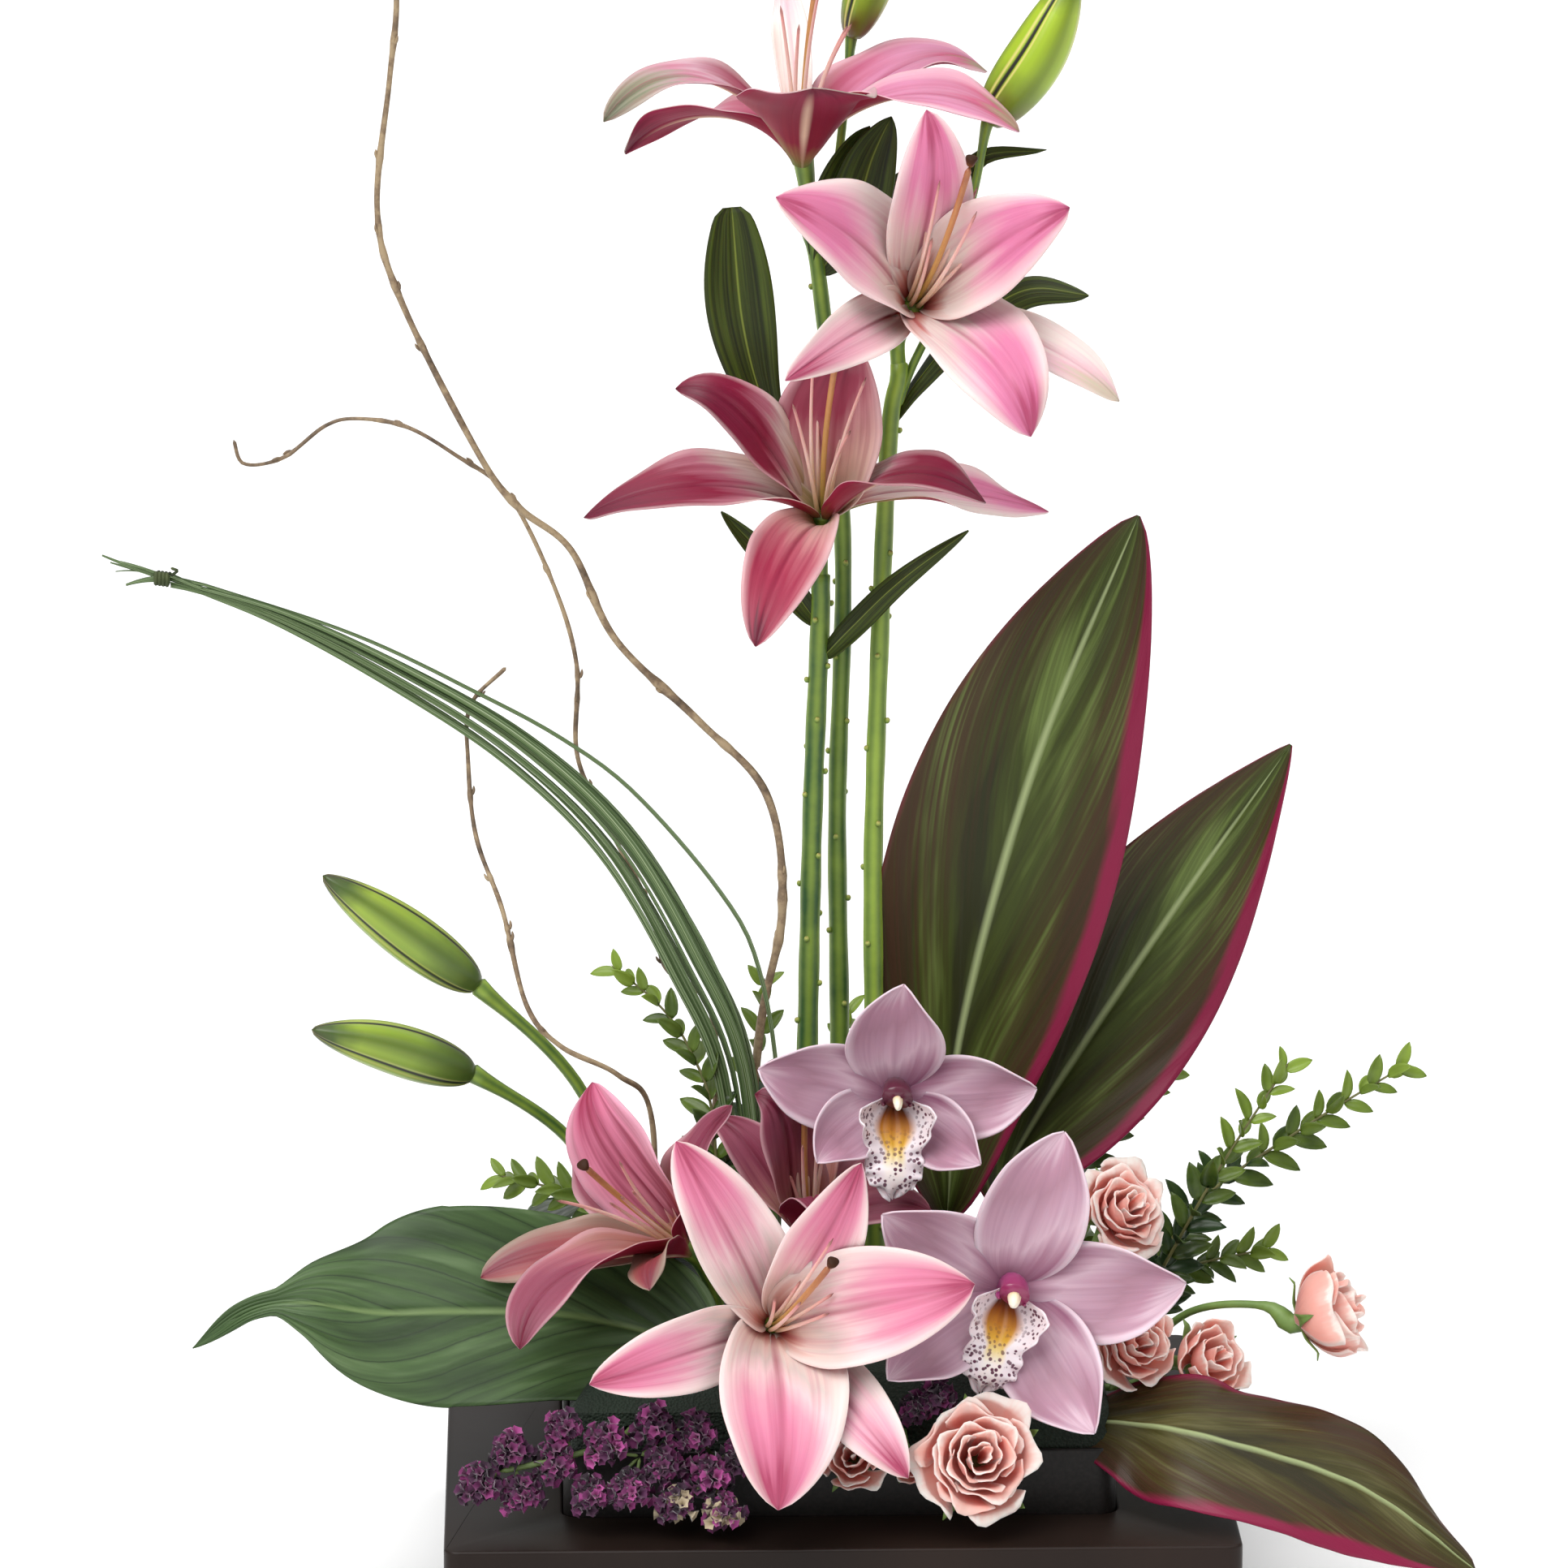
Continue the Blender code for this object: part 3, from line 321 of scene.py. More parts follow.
def spoke_at(sides, k, turn):
    """The direction straight out from place k of a route, some turn about it."""
    return sides[0][k] * math.cos(turn) + sides[1][k] * math.sin(turn)


def ahead_at(spine, k):
    """The direction in which a route runs at place k."""
    return unit(spine[k + 1] - spine[k - 1])


def tube(spine, radius, sides, along, relief=None, tone=0.5):
    """A closed round stem along a spine. radius is in centimetres, a number or a function of v."""
    spine = evenly(spine, along)
    first, second = carried(spine)
    radius = level(radius)

    def place(s, v):
        angle = (s * math.pi)[:, None]
        reach = radius(v) * np.where((v < 1e-6) | (v > 1 - 1e-6), 0.0, 1.0)
        if relief:
            reach = reach + relief(s, v)
        ring = rows_at(first, v) * np.cos(angle) + rows_at(second, v) * np.sin(angle)
        return rows_at(spine, np.clip(v, 0.2 / along, 1 - 0.2 / along)) + ring * (reach * CM)[:, None]

    made = grid(sides, along, place, tone)
    bpy.ops.object.mode_set(mode="EDIT")
    bpy.ops.mesh.select_all(action="SELECT")
    bpy.ops.mesh.remove_doubles(threshold=1e-6)
    bpy.ops.mesh.normals_make_consistent(inside=False)
    bpy.ops.object.mode_set(mode="OBJECT")
    return made


def apply_modifier(obj, kind, **settings):
    """Adds a modifier to an object and applies it."""
    bpy.context.view_layer.objects.active = obj
    modifier = obj.modifiers.new(kind.title(), kind)
    for key, value in settings.items():
        setattr(modifier, key, value)
    bpy.ops.object.modifier_apply(modifier=modifier.name)
    return obj


def thick(obj, millimetres, back=0):
    """Gives a sheet its thickness. back is how many slots on the material of its underside is."""
    return apply_modifier(
        obj, "SOLIDIFY", thickness=millimetres * 0.001, offset=0.0, material_offset=back,
        material_offset_rim=0)


def paint(obj, *materials):
    """Fills an object's slots, its first material on all its faces."""
    obj.data.materials.clear()
    for one in materials:
        obj.data.materials.append(one)
    return obj


def join(name, pieces):
    """Joins objects into one smooth-shaded piece with its name."""
    deselect()
    for piece in pieces:
        piece.select_set(True)
    bpy.context.view_layer.objects.active = pieces[0]
    if len(pieces) > 1:
        bpy.ops.object.join()
    joined = bpy.context.view_layer.objects.active
    joined.name = joined.data.name = name
    bpy.ops.object.transform_apply(location=True, rotation=True, scale=True)
    joined.data.shade_smooth()
    return joined


def dress(piece, node):
    """Puts a finished piece on the frame in place of its plain solid."""
    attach(piece, "root")
    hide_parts(node)


# ---- materials


def petal_of(name, lengthwise, margin_tint, midrib_tint, midrib_mix, vein, vein_mix, vein_count,
             heart=0.18, margin_mix=0.7, margin_from=0.82, **surface):
    """Living petal: colour runs in streaks from claw to tip, starts from the midrib and blushes more on one
    side.

    The margin is paler where it thins, the midrib has its own tint, and fine veins run lengthwise. The
    flesh is soft and slightly translucent, and its gloss is broad. heart is how much further up the
    midrib a colour reaches than it does at the margin."""
    made, tree, shader = new_material(name, **surface)
    across, along = own_place(tree)
    tone = tone_of(tree)
    centred, margin = from_middle(tree, across)
    place = add(tree, "CombineXYZ", {}, {0: across, 1: along, 2: tone})
    streak = noise(tree, place, (10.0, 1.1, 37.0), Detail=2.0)
    lean = maths(tree, "MULTIPLY", maths(tree, "MULTIPLY_ADD", tone, 1.1, -0.55), centred)
    shift = maths(tree, "MULTIPLY_ADD", streak, 0.42, heart / 2 - 0.21)
    inward = maths(tree, "MULTIPLY_ADD", margin, -heart, shift)
    moved = maths(tree, "ADD", maths(tree, "ADD", along, inward), lean)
    throat = ramp(tree, along, ((0.0, 0.0), (0.3, 1.0)))
    moved = add(tree, "Mix", {"data_type": "FLOAT"}, {0: throat, 2: along, 3: moved})
    fine = noise(tree, place, (vein_count, 0.8, 11.0), Detail=2.0, Roughness=0.6)
    veins = ramp(tree, fine, ((0.45, 0.0), (0.65, vein_mix)))
    colour = tinted(tree, ramp(tree, moved, lengthwise), vein, veins)
    middle = ramp(tree, margin, ((0.0, midrib_mix), (0.035, midrib_mix * 0.7), (0.09, 0.0)))
    fade = ramp(tree, along, ((0.05, 0.3), (0.25, 1.0), (0.6, 0.7), (0.92, 0.0)))
    colour = tinted(tree, colour, midrib_tint, maths(tree, "MULTIPLY", middle, fade))
    wander = maths(tree, "MULTIPLY_ADD", streak, 1 - margin_from, (margin_from - 1) / 2)
    thin = ramp(tree, maths(tree, "ADD", margin, wander), ((margin_from, 0.0), (0.97, margin_mix)))
    wire(tree, shader, tinted(tree, colour, margin_tint, thin), fine, 0.3, 0.0005)
    return made


def threadlike(name, stops, patch=0.3, **surface):
    """Skin of a slender part whose colour changes from foot to tip. patch is how far blotches shift it."""
    made, tree, shader = new_material(name, **surface)
    _, along = own_place(tree)
    blotch = solid(tree, "Noise", scale=350.0, detail=3.0)
    moved = maths(tree, "ADD", maths(tree, "MULTIPLY_ADD", blotch, patch, -patch / 2), along)
    wire(tree, shader, ramp(tree, moved, stops), blotch, 0.2, 0.0002)
    return made


# Flesh of a petal: light goes in about a millimetre, red furthest
SOFT = {
    "subsurface_weight": 0.25, "subsurface_radius": (1.0, 0.45, 0.4), "subsurface_scale": 0.0011,
    "ior": 1.42,
}


def lily_materials(cream, blush, deep):
    """Inner faces of the lilies, from the palest to the deepest, and the outer face that all share."""
    lilac = between(blush, "D77FB4", 0.35)
    shade = between(deep, "200010", 0.35)
    ripe = between(blush, deep, 0.6)
    # painted shade: cream greyed into a band between the throat and the pink
    grey = between(cream, "B4A6A0")
    # Each face: margin, its share and start, midrib, veins, their share and number, colours to the tip
    # The first stops of each face colour its throat, partly the lily's own green and brown, partly painted
    # shade where the tepals close in.
    faces = {
        "pale": (
            cream, 0.8, 0.6, between(blush, deep, 0.6), between(blush, deep, 0.35), 0.28, 22.0,
            (0.0, "7A5228"), (0.05, "A84A3E"), (0.11, "D08C80"), (0.2, "E8C0B4", cream), (0.34, grey),
            (0.46, cream, blush, 0.25), (0.6, cream, blush, 0.7), (0.76, blush), (0.9, blush, deep, 0.22),
            (1.0, ripe)),
        "lilac": (
            cream, 0.75, 0.58, between(blush, deep, 0.6), between(lilac, deep, 0.3), 0.28, 20.0,
            (0.0, "8A4A2A"), (0.06, "A8443C"), (0.14, "D08A80"), (0.26, "F3E7DF", cream),
            (0.42, cream, grey), (0.56, cream, lilac, 0.5), (0.74, lilac), (0.9, lilac, deep, 0.15),
            (1.0, lilac, deep, 0.55)),
        "soft": (
            cream, 0.8, 0.55, between(blush, deep, 0.4), between(blush, deep, 0.3), 0.24, 20.0,
            (0.0, "6E6A30"), (0.05, "9A5A44"), (0.12, "D8A698"), (0.24, cream), (0.44, grey),
            (0.6, cream, blush, 0.4), (0.8, cream, blush, 0.7), (1.0, ripe)),
        "wan": (
            cream, 0.6, 0.7, between(cream, blush), between(cream, blush, 0.6), 0.24, 20.0, (0.0, "8E9450"),
            (0.1, "C8B09A"), (0.25, "EFE2DC"), (0.6, cream), (0.85, cream, lilac, 0.3),
            (1.0, cream, "A8A078")),
        "dusty": (
            between(cream, "B8A0A4", 0.3), 0.35, 0.76, between(blush, deep, 0.7), between(blush, deep, 0.5),
            0.3, 20.0, (0.0, "7A7838"), (0.08, "A85A62"), (0.2, deep, blush, 0.2), (0.34, cream, deep, 0.6),
            (0.5, cream, "C090A4", 0.7), (0.6, blush, "B88C98", 0.5), (0.72, "A8968E"), (0.84, "84846A"),
            (1.0, "565A40")),
        "blushed": (
            between(cream, lilac, 0.35), 0.8, 0.66, between(blush, deep, 0.7), between(blush, deep, 0.5),
            0.35, 14.0, (0.0, "7A7838"), (0.08, "A84A5A"), (0.2, blush, deep, 0.4), (0.4, blush, "C07898"),
            (0.6, blush, "C88CB0", 0.6), (0.8, blush, "A87890", 0.5), (0.92, blush, deep, 0.35),
            (1.0, "9A8A70")),
        "streaked": (
            between(cream, lilac, 0.55), 0.75, 0.62, deep, deep, 0.75, 9.0, (0.0, "7A7838"),
            (0.06, "9A4A3C"), (0.14, "A8565C"), (0.3, blush, cream, 0.25), (0.55, blush, cream, 0.08),
            (0.8, blush, deep, 0.12), (0.92, blush, deep, 0.4), (1.0, ripe)),
        "smoky": (
            "A09080", 0.85, 0.45, between(deep, "B04A50"), "8E4448", 0.35, 16.0, (0.0, "7A7838"),
            (0.06, "A85A3C"), (0.16, "9A6A5E"), (0.4, "A0564E"), (0.7, "964448"), (1.0, "7A3442")),
        "worn": (
            between(cream, blush, 0.3), 0.5, 0.8, between(deep, "A85060"), between(deep, "903848"), 0.3,
            18.0, (0.0, "8A8A4E"), (0.08, "B49C74"), (0.17, "CDB2A2"), (0.34, "D8B4A8"),
            (0.56, cream, "B06870", 0.75), (0.72, deep, "A85A66"), (0.86, deep, "803040", 0.6),
            (1.0, shade)),
        "ruby": (
            between(cream, blush, 0.2), 0.6, 0.74, deep, deep, 0.3, 18.0, (0.0, "8A8A4E"), (0.08, "B49C74"),
            (0.2, "DCB4AC"), (0.34, "D29898"), (0.5, "B86070"), (0.72, deep, "B03C56", 0.6),
            (0.9, deep, "9A2A44"), (1.0, shade)),
        "rosy": (
            between(cream, blush, 0.3), 0.4, 0.8, between(deep, shade), between(deep, shade, 0.3), 0.26,
            22.0, (0.0, "7A7838"), (0.06, "A85A3C"), (0.14, "B87A6C"), (0.28, cream, "A87068", 0.8),
            (0.42, blush, "A06068", 0.8), (0.62, blush, "823A4E", 0.85), (0.84, blush, "742E42", 0.85),
            (1.0, shade)),
        "deep": (
            between(cream, blush, 0.2), 0.35, 0.82, between(deep, shade), between(deep, shade, 0.3), 0.26,
            22.0, (0.0, "8A8A4E"), (0.08, "B49C74"), (0.17, "CDB2A2"), (0.3, cream, "BFA9A2", 0.65),
            (0.42, cream, deep, 0.6), (0.56, deep), (0.82, deep, shade, 0.5), (1.0, shade)),
    }
    made = {}
    for name, (rim, rim_mix, rim_from, midrib, vein, vein_mix, vein_count, *stops) in faces.items():
        made[name] = petal_of(
            f"Lily petal, {name} inner face", stops, rim, midrib, 0.7, vein, vein_mix, vein_count,
            margin_mix=rim_mix, margin_from=rim_from, roughness=0.45, **SOFT)
    outer = (
        (0.0, "6E7838"), (0.07, "8E6444"), (0.16, deep, "923036"), (0.5, deep, "7A1428"), (0.8, deep),
        (1.0, shade))
    made["outer"] = petal_of(
        "Lily petal, outer face", outer, between(blush, deep, 0.8), "E6C8AE", 0.95, between(deep, shade),
        0.3, 24.0, margin_mix=0.3, roughness=0.55, specular_ior_level=0.12, **SOFT)
    return made


def orchid_materials(petal):
    """Cymbidium sepals: thick and waxy, dusky pink with darker veins, greener on their undersides. The front
    darkens at its foot and towards its tip with painted shade.
    """
    # painted shade: the darker stops at the foot and towards the tip of the front
    front = (
        (0.0, petal, "7A3A5A", 0.8), (0.14, petal, "8E5A72", 0.55), (0.34, petal, "E0CAD2", 0.4),
        (0.52, petal), (0.7, petal, "8A5A6A", 0.4), (0.86, petal, "A87088", 0.4),
        (1.0, petal, "E8D4DC", 0.4))
    under = ((0.0, petal, "8E8A70"), (0.4, petal, "A89AA4"), (1.0, petal))
    sepal = petal_of(
        "Cymbidium sepal", front, between(petal, "FBF2F6", 0.7), between(petal, "7A4A5E"), 0.4,
        between(petal, "8A5E74", 0.6), 0.25, 20.0, heart=0.2, roughness=0.42, sheen_weight=0.04, **SOFT)
    back = petal_of(
        "Cymbidium sepal, underside", under, "EADDE4", between(petal, "FFFFFF", 0.3), 0.5,
        between(petal, "8E7088"), 0.3, 26.0, heart=0.1, roughness=0.45, **SOFT)
    return sepal, back


def lip_material():
    """Cymbidium lip: waxy white, with a golden throat that goes near black at its foot, partly painted shade
    under the column, and a band of maroon flecks behind its margin.
    """
    made, tree, shader = new_material("Cymbidium lip", roughness=0.4, **SOFT)
    across, along = own_place(tree)
    _, margin = from_middle(tree, across)
    outermost = maths(tree, "MAXIMUM", margin, along)
    dots = ramp(tree, solid(tree, "Voronoi", scale=520.0, randomness=0.9), ((0.32, 1.0), (0.44, 0.0)))
    crowd = ramp(tree, outermost, ((0.3, 0.0), (0.5, 0.6), (0.72, 1.0), (0.88, 0.9), (0.95, 0.0)))
    # near black at the throat's foot: partly the lip's own maroon, partly painted shade under the column
    gold_and_painted_shade = (
        (0.0, "1E080E"), (0.1, "4A1812"), (0.2, "8A4414"), (0.34, "B8761C"), (0.48, "D9A634"),
        (0.58, "EAD08A"), (0.7, "F1E6E0"), (1.0, "EFE2E8"))
    throat = ramp(tree, along, gold_and_painted_shade)
    ground = tinted(tree, throat, "ECE0E4", ramp(tree, margin, ((0.25, 0.0), (0.42, 1.0))))
    wire(tree, shader, tinted(tree, ground, "561638", maths(tree, "MULTIPLY", dots, crowd)))
    return made


def rose_materials(heart, rim):
    """Rose petals: velvety, with pinker outsides; deep coral towards the foot, partly their own colour and
    partly painted shade between them, and cream rims that are partly a painted highlight.
    """
    soft = {
        "heart": 0.1, "roughness": 0.48, "sheen_weight": 0.2, "subsurface_weight": 0.5,
        "subsurface_radius": (1.0, 0.45, 0.4), "subsurface_scale": 0.006, "ior": 1.4,
    }
    pale, lip = between(rim, "FFF8F0"), (1.0, rim, "FFF8EE")
    # deeper coral towards the foot, partly painted shade between the petals; paler rims, partly a painted
    # highlight
    inside_with_painted_shade = (
        (0.0, heart, "B84848"), (0.26, heart), (0.48, heart, rim, 0.45), (0.7, heart, rim, 0.8),
        (0.88, rim), lip)
    outer = (
        (0.0, "8E9A58"), (0.12, heart, "B85A60", 0.6), (0.4, heart, rim, 0.3), (0.75, heart, rim),
        (0.92, heart, rim, 0.8), lip)
    blush = between(heart, rim, 0.3)
    inside = petal_of(
        "Spray rose petal, inner face", inside_with_painted_shade, pale, heart, 0.15, between(heart, rim, 0.4), 0.2, 16.0, **soft)
    outside = petal_of("Spray rose petal, outer face", outer, pale, blush, 0.3, blush, 0.25, 16.0, **soft)
    return outside, inside


def floret_material():
    """Statice calyx: dry, papery and deeply coloured, each floret lighter or darker than the next."""
    made, tree, shader = new_material("Statice calyx", roughness=0.75, sheen_weight=0.4)
    stops = ((0.0, "200A1C"), (0.35, "4A1240"), (0.7, "741C5C"), (0.93, "B04890"), (1.0, "B8A88C"))
    wire(tree, shader, ramp(tree, tone_of(tree), stops))
    return made


def plant_skin(name, light, dark, scale, ribs=0.0, **surface):
    """Green skin of a stem or small leaf: fine cells, drawn coarser than they are so that they show.

    ribs is how much paler the skin is painted along five ribs of a stem and darker between them: a painted
    highlight and painted shade, for the stem's shape has no ribs."""
    made, tree, shader = new_material(name, **surface)
    patches = solid(tree, "Noise", scale=scale, detail=4.0, roughness=0.6)
    mixed = maths(tree, "ADD", patches, tone_of(tree))
    if ribs:
        # painted highlight on five ribs round the stem, painted shade between them
        across, _ = own_place(tree)
        ridge = maths(tree, "COSINE", maths(tree, "MULTIPLY", across, 10 * math.pi))
        mixed = maths(tree, "MULTIPLY_ADD", ridge, ribs, mixed)
    spread = add(tree, "MapRange", {1: 0.55, 2: 1.45, 3: 0.0, 4: 1.0}, {0: mixed})
    wire(tree, shader, ramp(tree, spread, ((0.0, dark), (1.0, light))), patches, 0.25, 0.0004)
    return made


def striped(name, stops, vein, mix, count, rib, edge=None, lopsided=0.0, slant=0.0, flush=None,
            depth=0.0006, arcs=0, **surface):
    """Leaf with veins side by side, or slanting forward from a midrib, over paler and darker fields.

    The cuticle is waxy, so it has a broad grey sheen; on the ti and plain leaves pale patches in the colour
    stops are painted sheen. lopsided makes a coloured margin wider on one side, most of all three quarters
    of the way up, and arcs sets how close a few main veins stand that leave the midrib and curve forward;
    these are drawn dark, painted shade in their sunken grooves. flush is a tint that deepens from the midrib
    outwards."""
    made, tree, shader = new_material(name, **surface)
    across, along = own_place(tree)
    centred, margin = from_middle(tree, across)
    forward = maths(tree, "MULTIPLY_ADD", margin, -slant, along)
    place = add(tree, "CombineXYZ", {}, {0: centred, 1: forward, 2: tone_of(tree)})
    field = noise(tree, place, (2.4, 6.0, 9.0) if slant else (5.0, 1.2, 9.0), Detail=3.0)
    fine = noise(tree, place, (1.5, count, 9.0) if slant else (count, 0.7, 9.0), Detail=1.0)
    colour = tinted(tree, ramp(tree, field, stops), vein, ramp(tree, fine, ((0.42, 0.0), (0.66, mix))))
    if arcs:
        # painted shade: the main veins are drawn dark where the leaf's relief sinks them
        wave = maths(tree, "ABSOLUTE", maths(tree, "COSINE", maths(tree, "MULTIPLY", forward, arcs)))
        colour = tinted(tree, colour, vein, ramp(tree, wave, ((0.0, 0.85), (0.14, 0.25), (0.4, 0.0))))
    if flush:
        outward = maths(tree, "MULTIPLY", margin, fine)
        colour = tinted(tree, colour, flush, ramp(tree, outward, ((0.1, 0.0), (0.45, 0.85))))
    colour = tinted(tree, colour, rib, ramp(tree, margin, ((0.0, 0.9), (0.02, 0.6), (0.05, 0.0))))
    if edge:
        near = maths(tree, "ADD", margin, maths(tree, "MULTIPLY_ADD", field, 0.2, -0.1))
        # widest three quarters of the way up; 9.5 makes the greatest value of v^3 (1 - v) about 1
        remaining = maths(tree, "MULTIPLY_ADD", along, -1.0, 1.0)
        swell = maths(tree, "MULTIPLY", maths(tree, "POWER", along, 3.0), remaining)
        near = maths(tree, "MULTIPLY_ADD", maths(tree, "MULTIPLY", swell, centred), 9.5 * lopsided, near)
        colour = tinted(tree, colour, edge, ramp(tree, near, ((0.86, 0.0), (0.95, 1.0))))
    wire(tree, shader, colour, fine, 0.5, depth)
    return made


def bark_material():
    """Willow bark: thin and smooth, drifting from tan to grey-brown, with a fine raised grain."""
    made, tree, shader = new_material("Willow bark", roughness=0.55)
    grain = solid(tree, "Noise", scale=160.0, detail=6.0, roughness=0.65)
    mixed = maths(tree, "MULTIPLY_ADD", solid(tree, "Noise", scale=22.0, detail=2.0), 0.6, grain)
    colour = ramp(tree, mixed, ((0.6, "4E3F30"), (0.78, "7D6850"), (0.92, "A08B6C")))
    wire(tree, shader, colour, grain, 0.5, 0.0004)
    return made


def lacquer_material(tint):
    """Espresso lacquer, rubbed to satin: a brown-black ground, faint haze and broad reflections."""
    made, tree, shader = new_material(
        "Espresso lacquer", coat_weight=0.08, coat_roughness=0.25, specular_ior_level=0.16, ior=1.5)
    haze = solid(tree, "Noise", scale=9.0, detail=5.0)
    wire(tree, shader, ramp(tree, haze, ((0.35, tint, "000000", 0.2), (0.7, tint, "6A5040", 0.12))))
    rough = add(tree, "MapRange", {1: 0.3, 2: 0.7, 3: 0.34, 4: 0.46}, {0: haze})
    tree.links.new(rough.outputs[0], shader.inputs["Roughness"])
    return made


def foam_material():
    """Wet floral foam: crumbly green foam, soaked dark, with pores about a millimetre across."""
    made, tree, shader = new_material("Wet floral foam", roughness=0.8)
    colour = ramp(tree, solid(tree, "Noise", scale=30.0, detail=5.0), ((0.3, "0C140D"), (0.7, "19291A")))
    wire(tree, shader, colour, solid(tree, "Voronoi", scale=900.0), 0.8, 0.0008)
    return made


def dish_material():
    """Injection-moulded polypropylene tray, near black, satin with a fine spark-eroded grain."""
    made, tree, shader = new_material(
        "Moulded tray plastic", roughness=0.42, specular_ior_level=0.3, ior=1.49)
    grain = solid(tree, "Noise", scale=700.0, detail=2.0)
    wire(tree, shader, ramp(tree, grain, ((0.3, "120F0D"), (0.7, "1E1A18"))), grain, 0.3, 0.0002)
    return made


def paper_material():
    """Seamless white background paper, matt, barely mottled."""
    made, tree, shader = new_material("Background paper", roughness=0.9)
    mottle = solid(tree, "Noise", scale=3.0, detail=2.0)
    wire(tree, shader, ramp(tree, mottle, ((0.3, "F6F6F6"), (0.7, "FAFAFA"))))
    return made


# ---- lilies

# Each flower: node, base, axis, six tepals round the axis, stalk up to the base, stigma, inner face. Each
# tepal: tip, half width, how far it bends back, roll and, where it differs, inner face.
LILIES = {
    "lily_bloom_lower": (
        (-0.3, 1.6, 42.0), (-0.05, -0.62, 0.78),
        (
            ((-9.5, -0.2, 42.6), 1.25, 0.7, -0.2), ((-3.1, -6.5, 38.8), 1.45, 0.6, 0.2, "ruby"),
            ((5.6, -5.2, 44.0), 1.25, 0.6, 0.45), ((8.5, 4.4, 41.9), 1.2, 0.75, 0.1, "lilac"),
            ((0.9, -0.6, 49.2), 1.95, 0.15, 0.0, "worn"), ((-6.0, -1.0, 47.7), 1.2, 0.6, 0.4)),
        ((-0.4, 2.0, 39.6), (-0.4, 2.0, 40.8)), (0.2, -3.0, 50.0), "deep"),
    "lily_bloom_upper": (
        (3.0, 1.0, 50.5), (0.2, -0.88, 0.42),
        (
            ((-2.3, -4.9, 55.6), 1.9, 0.2, -0.3), ((-2.0, -6.9, 49.0), 1.15, 0.4, 0.4, "soft"),
            ((7.2, -6.7, 46.8), 1.85, 0.65, 0.0), ((10.7, -3.6, 47.6), 1.0, 0.75, 0.2, "wan"),
            ((8.7, -5.1, 55.2), 1.7, 0.2, 0.0), ((3.4, -3.6, 58.7), 1.6, 0.2, 0.3)),
        ((2.6, 2.5, 47.8), (2.6, 2.5, 49.1)), (5.0, -4.6, 56.8), "lilac"),
    "lily_bloom_top": (
        (-1.1, 3.0, 55.6), (0.0, -0.05, 1.0),
        (
            ((-8.7, -1.5, 58.0), 1.0, 1.05, 0.5), ((-0.9, -4.0, 59.6), 2.6, -0.35, 0.0),
            ((7.0, -1.1, 57.5), 1.35, 0.75, -0.3, "blushed"),
            ((6.2, 7.8, 58.6), 1.7, 0.75, -0.3, "blushed"), ((-1.8, 8.7, 61.8), 0.62, 0.25, 0.5, "wan"),
            ((-7.8, 8.1, 55.4), 1.5, 0.95, -0.2)),
        ((-0.9, 3.2, 53.6), (-0.9, 3.2, 54.8)), (-0.3, 2.4, 64.2), "dusty"),
    "lily_bloom_front": (
        (-2.6, -8.5, 12.9), (0.12, -0.95, 0.3),
        (
            ((-6.2, -11.1, 20.8), 1.5, 0.2, -0.2), ((-9.5, -14.4, 12.3), 1.45, 0.5, 0.25),
            ((-2.5, -16.2, 7.9), 2.15, 0.4, 0.0), ((2.4, -14.8, 8.7), 1.35, 0.3, 0.1, "soft"),
            ((4.9, -13.8, 15.9), 1.95, 0.35, 0.15), ((0.7, -12.6, 20.3), 1.45, 0.2, -0.3)),
        ((-2.6, -6.2, 6.4), (-2.6, -6.4, 11.9), (-2.6, -7.6, 12.7)), (-0.5, -14.6, 16.9), "pale"),
    "lily_bloom_left": (
        (-5.6, -5.0, 14.9), (-0.66, -0.42, 0.62),
        (
            ((-9.8, -1.4, 18.4), 1.3, 0.3, 0.0), ((-13.6, -6.4, 14.3), 1.25, -0.15, 0.45, "smoky"),
            ((-12.1, -11.6, 12.9), 1.4, 0.45, 0.35), ((-7.2, -10.6, 14.9), 1.0, 0.2, 0.3, "smoky"),
            ((-4.0, -6.4, 21.0), 1.1, 0.2, 0.0), ((-9.3, -4.6, 21.5), 1.9, 0.15, 0.0, "streaked")),
        ((-4.4, -3.6, 6.4), (-4.5, -3.8, 12.0), (-5.1, -4.6, 14.2)), (-9.6, -9.4, 19.4), "rosy"),
    "lily_bloom_back": (
        (-0.9, -2.6, 14.6), (-0.1, -0.5, 0.86),
        (
            ((-3.1, -5.4, 21.2), 1.25, 0.25, 0.5), ((-4.6, -1.9, 19.4), 1.2, 0.3, 0.0),
            ((-0.6, 0.4, 20.8), 1.1, 0.1, 0.0), ((3.2, 0.2, 18.6), 1.2, 0.35, 0.0),
            ((3.6, -5.6, 16.6), 1.2, 0.45, 0.0), ((-0.7, -8.8, 17.2), 1.2, 0.45, 0.0)),
        ((-0.9, -1.6, 6.4), (-0.9, -1.7, 12.0), (-0.9, -2.2, 13.8)), (-1.2, -5.5, 21.0), "rosy"),
}


def arched(root, tip, axis, recurve, lift):
    """The midrib of a tepal: it leaves along the flower's axis, by lift, and bends over towards its tip."""
    chord = tip - root
    reach = np.linalg.norm(chord)
    out = unit(chord - axis * chord.dot(axis))
    a = root + (axis * lift + out * 0.35) * reach * 0.38
    b = tip + axis * recurve * reach * 0.35 - out * reach * 0.32
    u = np.linspace(0, 1, 60)[:, None]
    v = 1 - u
    return root * v**3 + a * 3 * v**2 * u + b * 3 * v * u**2 + tip * u**3


